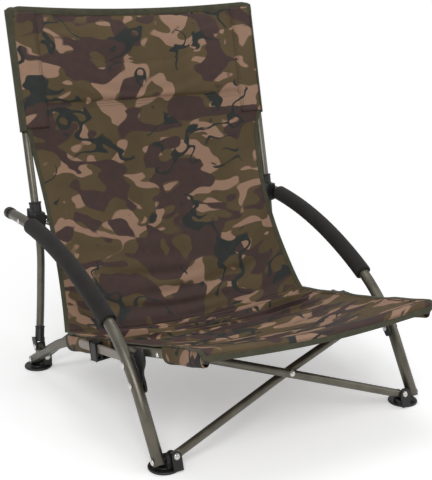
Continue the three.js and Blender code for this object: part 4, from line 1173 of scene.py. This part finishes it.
# %% The back's surface and the two grids
def back_surface(u, z):
    spine = np.array([back_spine(float(v)) for v in z[:, 0]])[:, None, :]
    way = np.array([back_way(float(v)) for v in z[:, 0]])[:, None, :]
    share = (z - back_bottom) / (back_top - back_bottom)
    ridge = pleats(u, z - back_bottom, back_pleats) * np.clip(1 - np.abs(u) ** 6, 0, 1)
    crease_in = 5.0 * np.exp(-(((z - seam_z) / 5.0) ** 2)) * (np.abs(u) < 0.83)
    fall = hang(u) * (8 + 18 * (1 - share)) - ridge - pad_lift(u * back_edge(z), z) + crease_in
    points = np.broadcast_to(spine - way * fall[..., None], u.shape + (3,)).copy()
    points[..., 0] = u * back_edge(z)
    points[..., 2] -= top_dip(u, z)
    return joined(points, u, smooth((back_bottom + 80 - z) / 80))


def top_dip(u, z):
    corner = 10 - 0.5 * np.sqrt(400 - np.clip(np.abs(u) * 284 - 264.5, 0, 19.5) ** 2)
    return (9.0 * (1 - u**2) + corner) * smooth((z - back_top + 34) / 34)


def cloth_grid(surface, columns, rows, start, stop, first_v):
    u, along = np.meshgrid(np.linspace(-1, 1, columns + 1), np.linspace(start, stop, rows + 1))
    points = surface(u, along)
    step_length = np.linalg.norm(np.diff(points, axis=0), axis=2)
    run = np.vstack([np.zeros(columns + 1), np.cumsum(step_length, axis=0)])
    even = run.mean(axis=1, keepdims=True)
    uv = np.stack([points[..., 0], first_v + 0.6 * even + 0.4 * run], axis=-1)
    return points, uv


def grid_faces(rows, columns):
    return [(j * columns + i, j * columns + i + 1, (j + 1) * columns + i + 1, (j + 1) * columns + i)
            for j in range(rows - 1) for i in range(columns - 1)]


def grid_mesh(name, points, uv, finish):
    faces = grid_faces(*points.shape[:2])
    return mesh_of(name, points.reshape(-1, 3), faces, finish, uv.reshape(-1, 2), crisp=None)


lip_end = lip_start - lip_radius * lip_turn - lip_drop
seat_points, seat_uv = cloth_grid(seat_surface, 80, 160, lip_end, 375, 0)
seat_length = float(seat_uv[-1, :, 1].mean() - seat_uv[0, :, 1].mean())
back_points, back_uv = cloth_grid(back_surface, 80, 132, back_bottom, back_top, seat_length)
back_uv[..., 1] += (seat_uv[-1, :, 1] - back_uv[0, :, 1])[None] * smooth(1 - np.arange(133) / 40)[:, None]

# %% [markdown]
# The ridges alone look drawn. So the whole run of cloth, seat and back in one mesh, is let go as
# cloth for a moment: its edges, the sleeves' seams and the strip under the headrest are held, the
# middle has up to 6.5 percent of spare length, and under its own weight it buckles into folds. No
# point may move more than 13 mm from the drawn surface.

# %% Letting the cloth settle
def simulate(piece, frames, held, loose=None, spare=0.0, **settings):
    """Runs the cloth and returns where each point ends, in millimetres of the drawing."""
    group = piece.vertex_groups.new(name="held")
    for index in np.nonzero(held > 0)[0]:
        group.add([int(index)], float(held[index]), "REPLACE")
    cloth = piece.modifiers.new("cloth", "CLOTH")
    cloth.settings.vertex_group_mass = "held"
    for key, value in settings.items():
        setattr(cloth.settings, key, value)
    if loose is not None:
        spread = piece.vertex_groups.new(name="loose")
        for index in np.nonzero(loose > 0)[0]:
            spread.add([int(index)], float(loose[index]), "REPLACE")
        cloth.settings.vertex_group_shrink = "loose"
        cloth.settings.shrink_min, cloth.settings.shrink_max = 0.0, -spare
    if cloth.settings.use_pressure:
        cloth.settings.effector_weights.gravity = 0
    cloth.point_cache.frame_start, cloth.point_cache.frame_end = 1, frames
    for frame_number in range(1, frames + 1):
        scene.frame_set(frame_number)
    graph = bpy.context.evaluated_depsgraph_get()
    places = places_of(piece.evaluated_get(graph).data)
    piece.modifiers.remove(cloth)
    scene.frame_set(1)
    return millimetres(places)


def limited(before, after, most):
    move = after - before
    length = np.linalg.norm(move, axis=1, keepdims=True)
    return before + move * most * np.tanh(length / most) / np.maximum(length, 1e-9)


run = np.concatenate([seat_points[:-1], back_points])
along = np.arange(len(run))[:, None] + np.zeros(81)
flat = run.reshape(-1, 3)
cloth_piece = mesh_of("cloth run", flat, grid_faces(*run.shape[:2]), camouflage, crisp=None)
inward_share = np.broadcast_to(np.abs(np.linspace(-1, 1, 81)), along.shape)
seated = len(seat_points) - 1
on_back = along >= seated
height = run[..., 2]
under_pad = on_back & (height > 575) & (height < 700) & (inward_share > 0.6)
held = (inward_share > 0.99) | (along < 13) | under_pad | (along > len(run) - 3)
held |= on_back & (height > sleeve_bottom - 4) & (np.abs(run[..., 0]) > 230)
held |= on_back & (np.abs(height - seam_z + 3) < 4)
near = np.exp(-((along - seated + 14) / 40.0) ** 2)
loose = (0.34 + 0.66 * near - 0.12 * (height > seam_z)) * (1 - inward_share**8)
ends = simulate(cloth_piece, 26, held.reshape(-1).astype(float), loose.reshape(-1), 0.065,
                quality=6, mass=0.25, tension_stiffness=22, compression_stiffness=22,
                shear_stiffness=8, bending_stiffness=0.9, air_damping=2)
run = limited(flat, ends, 13).reshape(run.shape)
seat_points, back_points = run[:seated + 1], run[seated:]
bpy.data.objects.remove(cloth_piece)
print("cloth moved by up to", round(float(np.abs(run.reshape(-1, 3) - flat).max()), 1), "mm")

# %% [markdown]
# Subdivision softens each grid, and a wall of one millimetre gives it two faces. The real sling
# gathers between the sides as the chair folds. Here each sheet keeps its shape and rides one body.

# %% The two sheets
def finished_cloth(piece, thickness=1.0):
    soften = piece.modifiers.new("soften", "SUBSURF")
    soften.levels = soften.render_levels = 1
    walled(piece, thickness, 0.0).modifiers["wall"].use_even_offset = False
    return piece


seat = finished_cloth(grid_mesh("seat_cloth", seat_points, seat_uv, camouflage))
back = finished_cloth(grid_mesh("back_cloth", back_points, back_uv, camouflage))
settle(seat, "camouflage_cloth", "sling_seat")
settle(back, "camouflage_cloth", "sling_back")
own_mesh(seat)
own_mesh(back)
print("seat grid", seat_points.shape, "back grid", back_points.shape)

# %% [markdown]
# ## Sleeves
# The sheet is held by sleeves, loops of the same cloth. On a pole the loop is a teardrop: it comes
# off the face at a seam 50 mm in, goes round the pole and returns behind. On a rail it hangs from
# the sheet's edge and goes under the tube. Each sleeve rides with its own tube.

# %% Pole sleeves and rail sleeves
def loop_piece(name, rings, uv, finish, side, body, thickness=0.9):
    rings = np.array(rings) * (1 if side == "right" else flip)
    rows, count = rings.shape[:2]
    uv = np.array(uv)
    if side == "left":
        uv = uv * [-1, 1]
    faces = grid_faces(rows, count)
    if side == "right":
        faces = [f[::-1] for f in faces]
    made = mesh_of(name, rings.reshape(-1, 3), faces, finish, uv.reshape(-1, 2), crisp=None)
    walled(made, thickness, 0.0)
    return settle(made, "camouflage_cloth", body=body)


def face_depth(x, z):
    u = np.clip(x / back_edge(z), -1, 1)
    share = (z - back_bottom) / (back_top - back_bottom)
    ridge = float(pleats(np.array(u), np.array(z - back_bottom), back_pleats)) * (1 - abs(u) ** 6)
    return 11.5 - float(hang(u)) * (8 + 18 * (1 - share)) + ridge


def closed_curve(points, count):
    """A smooth open run of points through a few key points."""
    keys = np.array(points, dtype=float)
    t = lengths_along(keys)
    dense = np.linspace(0, t[-1], count)
    run = np.stack([np.interp(dense, t, keys[:, k]) for k in range(2)], axis=1)
    for _ in range(3):
        run[1:-1] = (run[:-2] + 2 * run[1:-1] + run[2:]) / 4
    return run


seam_in = 50
for side, _ in sides:
    rings, uvs = [], []
    for z in np.linspace(sleeve_bottom, sleeve_top, 44):
        axis = pole_at(z)
        wave = 0.5 * math.sin(z / 17) + 0.4 * math.sin(z / 7.3 + 1)
        seam = face_depth(axis[0] - seam_in, z)
        front = [(-seam_in, seam + 0.7), (-seam_in + 3, seam + 2.2),
                 (-32, face_depth(axis[0] - 32, z) + 3.0 + wave),
                 (-12, 12.9 + wave * 0.6), (-2, 13.2), (6, 10.6), (9.6, 5), (10.4, 0), (9, -5.4), (4.6, -9),
                 (-2, -10),
                 (-12, -7.2), (-30, 0.2 + wave), (-seam_in, seam - 2.6)]
        loop = closed_curve(front, 56)
        rings.append([axis + np.array([a, 0, 0]) + back_out * n for a, n in loop])
        run = lengths_along(loop)
        height = float(np.interp(z, np.linspace(back_bottom, back_top, back_uv.shape[0]), back_uv[:, 0, 1]))
        uvs.append([(axis[0] - seam_in + s, height) for s in run])
    made = loop_piece(f"pole_sleeve_{side}", rings, uvs, camouflage, side, f"pole_{side}")

    for label, start, stop in (("front", -84, 26), ("rear", 192, 364)):
        rings, uvs = [], []
        for y in np.linspace(start, stop, 24 if label == "front" else 34):
            axis = rail_point(y, rail_height(y))
            edge = min(1.0, (y - start + 4) / 14, (stop - y + 4) / 14)
            slack = 6.5 * math.sqrt(max(0.0, 1 - (1 - edge) ** 2)) + 0.7 * math.sin(y / 9)
            keys = [(-7, 13.2), (-8, 7), (-8.3, 0), (-7.6, -8), (-5, -11 - slack * 0.7), (0, -12 - slack),
                    (5, -11 - slack * 0.7),
                    (7.7, -8), (8.4, 0), (8.2, 7), (7, 13.8)]
            loop = closed_curve(keys, 36)
            rings.append([axis + rail_across * a + seat_out * h for a, h in loop])
            run = lengths_along(loop)
            uvs.append([(axis[0] + s, 452 + y) for s in run])
        made = loop_piece(f"rail_sleeve_{label}_{side}", rings, uvs, camouflage, side, f"rail_{side}")

# %% [markdown]
# ## Bindings
# Every cut edge is bound with olive tape, folded over the edge and sewn. A short section, flat on
# both faces and round at the edge, is carried along the edge's own points, so the tape follows
# each wave of the cloth.

# %% Tape along the edges
def frames_along(edge, inward, face):
    edge, inward, face = (np.asarray(v, dtype=float) for v in (edge, inward, face))
    way = np.gradient(edge, axis=0)
    way /= np.linalg.norm(way, axis=1, keepdims=True)
    inward = inward - way * np.sum(inward * way, axis=1, keepdims=True)
    inward /= np.linalg.norm(inward, axis=1, keepdims=True)
    out = np.cross(way, inward)
    out *= np.sign(np.sum(out * face, axis=1, keepdims=True))
    return way, inward, out


def tape_along(name, edge, inward, face, width, half=1.15, lip=1.4, body=None):
    way, inward, out = frames_along(edge, inward, face)
    section = [(width, half * 0.72), (width * 0.97, half), (1.2, half), (-lip * 0.55, half * 0.8),
               (-lip, 0),
               (-lip * 0.55, -half * 0.8), (1.2, -half), (width * 0.97, -half), (width, -half * 0.72)]
    edge = np.asarray(edge, dtype=float)
    rings = [[edge[i] + inward[i] * a + out[i] * n for a, n in section] for i in range(len(edge))]
    count = len(section)
    run = lengths_along(edge)
    around = lengths_along(np.array(section))
    points = np.array(rings).reshape(-1, 3)
    uv = np.array([[(around[k], run[i]) for k in range(count)] for i in range(len(edge))]).reshape(-1, 2)
    faces = []
    for i in range(len(edge) - 1):
        for k in range(count):
            m = (k + 1) % count
            faces.append((i * count + k, i * count + m, (i + 1) * count + m, (i + 1) * count + k))
    faces.append(tuple(range(count - 1, -1, -1)))
    faces.append(tuple(range((len(edge) - 1) * count, len(edge) * count)))
    made = mesh_of(name, points, faces, webbing, uv, crisp=None)
    outward(made.data)
    made.data.shade_smooth()
    made.data.set_sharp_from_angle(angle=math.radians(50))
    return settle(made, "camouflage_cloth", body=body)


def squashed(piece):
    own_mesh(piece)
    return piece


def grid_out(points):
    across, along = np.gradient(points, axis=1), np.gradient(points, axis=0)
    out = np.cross(across, along)
    return out / np.linalg.norm(out, axis=2, keepdims=True)


seat_normal, back_normal = grid_out(seat_points), grid_out(back_points)
front_edge = seat_points[0]
squashed(tape_along("seat_front_hem", front_edge, seat_points[3] - seat_points[0], seat_normal[0], 9,
                    body="rail_left"))
top_edge = back_points[-1]
squashed(tape_along("back_top_hem", top_edge, back_points[-4] - back_points[-1], back_normal[-1], 13,
                    half=1.5, body="pole_left"))
for side, _ in sides:
    column = -1 if side == "right" else 0
    inner = -4 if side == "right" else 3
    edge, into = seat_points[:, column], seat_points[:, inner] - seat_points[:, column]
    tape_along(f"seat_edge_{side}", edge, into, seat_normal[:, column], 7, body=f"rail_{side}")
    low = [j for j in range(len(back_points)) if back_points[j, column, 2] < sleeve_bottom + 8]
    edge, into = back_points[low, column], (back_points[:, inner] - back_points[:, column])[low]
    tape_along(f"back_edge_{side}", edge, into, back_normal[low, column], 9, body=f"pole_{side}")

# %% Tape round the outer side of the pole sleeves
for side, _ in sides:
    points, uvs = [], []
    heights = np.linspace(sleeve_bottom - 4, sleeve_top + 6, 60)
    for z in heights:
        axis = pole_at(z)
        keys = [(1, 13.9), (6.6, 11.3), (10.6, 5.4), (11.4, 0), (10, -5.8), (5.2, -9.9), (1, -10.9)]
        loop = closed_curve(keys, 20)
        points.append([axis + np.array([a, 0, 0]) + back_out * n for a, n in loop])
        run = lengths_along(loop)
        uvs.append([(s, z) for s in run])
    loop_piece(f"sleeve_tape_{side}", points, uvs, webbing, side, f"pole_{side}", thickness=0.7)
print("sleeve tapes made")

# %% [markdown]
# ## The headrest
# The headrest is padding sewn in behind the face of the sling, so the face above runs over it and
# shows its swell. The pad starts as a closed form that is thin at its rim. It is remeshed to even
# faces and blown up a little as cloth, while its rim is held, and it stays just behind the face.

# %% The padded headrest
columns, rows, pad_half = 96, 26, 226.0


def pad_spot(x, z, lift):
    spine, way = back_spine(z), back_way(z)
    dip = float(top_dip(np.array(x / back_edge(z)), np.array(z)))
    return np.array([x, spine[1], spine[2] - dip]) + way * (face_depth(x, z) - 11.5 + lift)


front, rear = [], []
for j in range(rows + 1):
    z = pad_low + (pad_high - pad_low) * j / rows
    for i in range(columns + 1):
        x = -pad_half + 2 * pad_half * i / columns
        s, t = 2 * i / columns - 1, 2 * j / rows - 1
        swell = (1 - abs(s) ** 10) * (1 - abs(t) ** 6)
        front.append(pad_spot(x, z, -4.4 + max(0.0, float(pad_lift(x, z)) + 1.2) * swell))
        rear.append(pad_spot(x, z, -6.0))
total = len(front)
faces = grid_faces(rows + 1, columns + 1)
faces += [tuple(total + i for i in reversed(f)) for f in faces]
stride = columns + 1
rim = list(range(columns)) + [j * stride + columns for j in range(rows)] + \
    [rows * stride + i for i in range(columns, 0, -1)] + [j * stride for j in range(rows, 0, -1)]
for a, b in zip(rim, rim[1:] + rim[:1]):
    faces.append((a, total + a, total + b, b))
pad = mesh_of("headrest_cushion", front + rear, faces, camouflage, crisp=None)
outward(pad.data)
even = pad.modifiers.new("even faces", "REMESH")
even.mode, even.voxel_size = "VOXEL", 0.0032
bpy.context.view_layer.update()
meshed = bpy.data.meshes.new_from_object(pad.evaluated_get(bpy.context.evaluated_depsgraph_get()))
pad.modifiers.remove(even)
pad.data = meshed
before = millimetres(places_of(meshed))
held = np.abs(before[:, 0]) > pad_half - 9
held |= (before[:, 2] < pad_low + 9) | (before[:, 2] > pad_high - 16)
after = simulate(pad, 16, held.astype(float), use_pressure=True, uniform_pressure_force=3.0,
                 quality=5, mass=0.3, tension_stiffness=18, compression_stiffness=18,
                 bending_stiffness=0.8)
swollen = limited(before, after, 5.0)
meshed.vertices.foreach_set("co", metres(swollen).reshape(-1))
meshed.update()
meshed.materials.clear()
meshed.materials.append(camouflage)
print("headrest moved by up to", round(float(np.abs(swollen - before).max()), 1), "mm")
pad.data.shade_smooth()
spots = places_of(pad.data)
heights = np.interp(spots[:, 2] / MM, np.linspace(back_bottom, back_top, back_uv.shape[0]),
                    back_uv[:, 0, 1]) * MM
lay_flat(pad.data, np.stack([spots[:, 0], heights], axis=1))
settle(pad, "camouflage_cloth", "headrest_pad")
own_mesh(pad)
print("headrest faces:", len(pad.data.polygons))

# %% [markdown]
# ## Closed tops of the pole sleeves
# At each top corner the tape is drawn over the end of the pole. A ring of the sleeve's own section
# is carried up and closes in a quarter circle, which rounds the corner.

# %% Sleeve ends
for side, _ in sides:
    rings = []
    for z, scale in [(722, 0.93), (724, 0.99), (730, 1.0), (736, 1.0)] + \
            [(736 + 12.6 * math.sin(t), math.cos(t)) for t in np.linspace(0.2, 1.5, 8)]:
        axis = pole_at(min(z, 742.0)) + np.array([0, 0, max(0.0, z - 742.0)])
        turn = np.linspace(0, 2 * math.pi, 28, endpoint=False)
        wide, deep = 14.2 * scale, 12.6 * scale
        rings.append([axis + np.array([-2.2 + wide * math.cos(a), 0, 0])
                      + back_out * (1.2 + deep * math.sin(a)) for a in turn])
    rings = np.array(rings) * (1 if side == "right" else flip)
    count = rings.shape[1]
    faces = [(j * count + i, j * count + (i + 1) % count, (j + 1) * count + (i + 1) % count,
              (j + 1) * count + i)
             for j in range(len(rings) - 1) for i in range(count)]
    faces += [tuple(range(count))[::-1], tuple((len(rings) - 1) * count + i for i in range(count))]
    points = rings.reshape(-1, 3)
    made = mesh_of(f"sleeve_end_{side}", points, faces, webbing, points[:, [0, 2]], crisp=None)
    outward(made.data)
    made.data.shade_smooth()
    settle(made, "camouflage_cloth", body=f"pole_{side}")
print("sleeve ends closed")

# %% [markdown]
# ## Stitches
# Every seam is a row of short stitches. One Geometry Nodes tree resamples a line at the stitch's
# pitch and puts a small capsule at each place, turned along the line. A capsule has few faces,
# because there are hundreds.

# %% The tree "stitches"
stitch_tree, given, end = new_tree("stitches", [
    ("Pitch", "Float", 0.0034), ("Thickness", "Float", 0.0007), ("Finish", "Material", None)])
line = step(stitch_tree, "GeometryNodeMeshToCurve", {0: given.outputs["Geometry"]})
even = step(stitch_tree, "GeometryNodeResampleCurve",
            {"Curve": line.outputs[0], "Length": given.outputs["Pitch"]}, mode="LENGTH")
bead = step(stitch_tree, "GeometryNodeMeshUVSphere", {"Segments": 6, "Rings": 4, "Radius": 1.0})
tangent = step(stitch_tree, "GeometryNodeInputTangent")
bead_turn = step(stitch_tree, "FunctionNodeAlignRotationToVector", {"Vector": tangent.outputs[0]}, axis="Z")
bead_half = reckon(stitch_tree, "MULTIPLY", given.outputs["Thickness"], 0.5)
bead_long = reckon(stitch_tree, "MULTIPLY", given.outputs["Pitch"], 0.39)
bead_size = step(stitch_tree, "ShaderNodeCombineXYZ", {"X": bead_half, "Y": bead_half, "Z": bead_long})
placed = step(stitch_tree, "GeometryNodeInstanceOnPoints", {
    "Points": even.outputs[0], "Instance": bead.outputs[0], "Rotation": bead_turn.outputs[0],
    "Scale": bead_size.outputs[0]})
last_steps(stitch_tree, placed.outputs[0], given.outputs["Finish"], end)
print("tree:", stitch_tree.name, "with", len(stitch_tree.nodes), "nodes")

# %% Rows of stitches
def sewn(name, lines, body, squash=None, pitch=3.6, thickness=0.9):
    """Sews one or more lines; the rows of one part of the sling make one piece."""
    points, edges = [], []
    for line_points in lines:
        first = len(points)
        points += [tuple(p) for p in metres(line_points)]
        edges += [(first + i, first + i + 1) for i in range(len(line_points) - 1)]
    start = bpy.data.meshes.new("line")
    start.from_pydata(points, edges, [])
    values = {"Pitch": pitch * MM, "Thickness": thickness * MM, "Finish": thread}
    made = grown(name, start, stitch_tree, values)
    made.data.shade_smooth()
    settle(made, "camouflage_cloth", body=body)
    return squashed(made) if squash else made


def on_sheet(points, normals, row, column_from, column_to, lift):
    return [points[row, i] + normals[row, i] * lift for i in range(column_from, column_to)]


if back_normal[60, 40, 1] > 0:
    back_normal = -back_normal
if seat_normal[60, 40, 2] < 0:
    seat_normal = -seat_normal
row_height = (back_top - back_bottom) / (len(back_points) - 1)
seam_row = round((seam_z - 4 - back_bottom) / row_height)
hem_row = len(back_points) - 1 - round(15 / row_height)
rows_back = [on_sheet(back_points, back_normal, seam_row, 8, 73, 0.8),
             on_sheet(back_points, back_normal, seam_row - 1, 8, 73, 0.8),
             on_sheet(back_points, back_normal, hem_row, 6, 75, 0.8)]
sewn("back_stitches", rows_back, "pole_left", "back")
rows_seat = [on_sheet(seat_points, seat_normal, 4, 1, 80, 0.8)]
sewn("seat_stitches", rows_seat, "rail_left", "seat")
for side, _ in sides:
    lines = []
    for offset in (0.0, 4.5):
        line_points = []
        for z in np.linspace(sleeve_bottom + 3, sleeve_top - 6, 70):
            axis = pole_at(z)
            x = axis[0] - seam_in + 2.5 + offset
            lifted = face_depth(x, z) + 2.9 + offset * 0.12
            line_points.append(axis + np.array([x - axis[0], 0, 0]) + back_out * lifted)
        lines.append(np.array(line_points) * (1 if side == "right" else flip))
    sewn(f"sleeve_stitches_{side}", lines, f"pole_{side}")
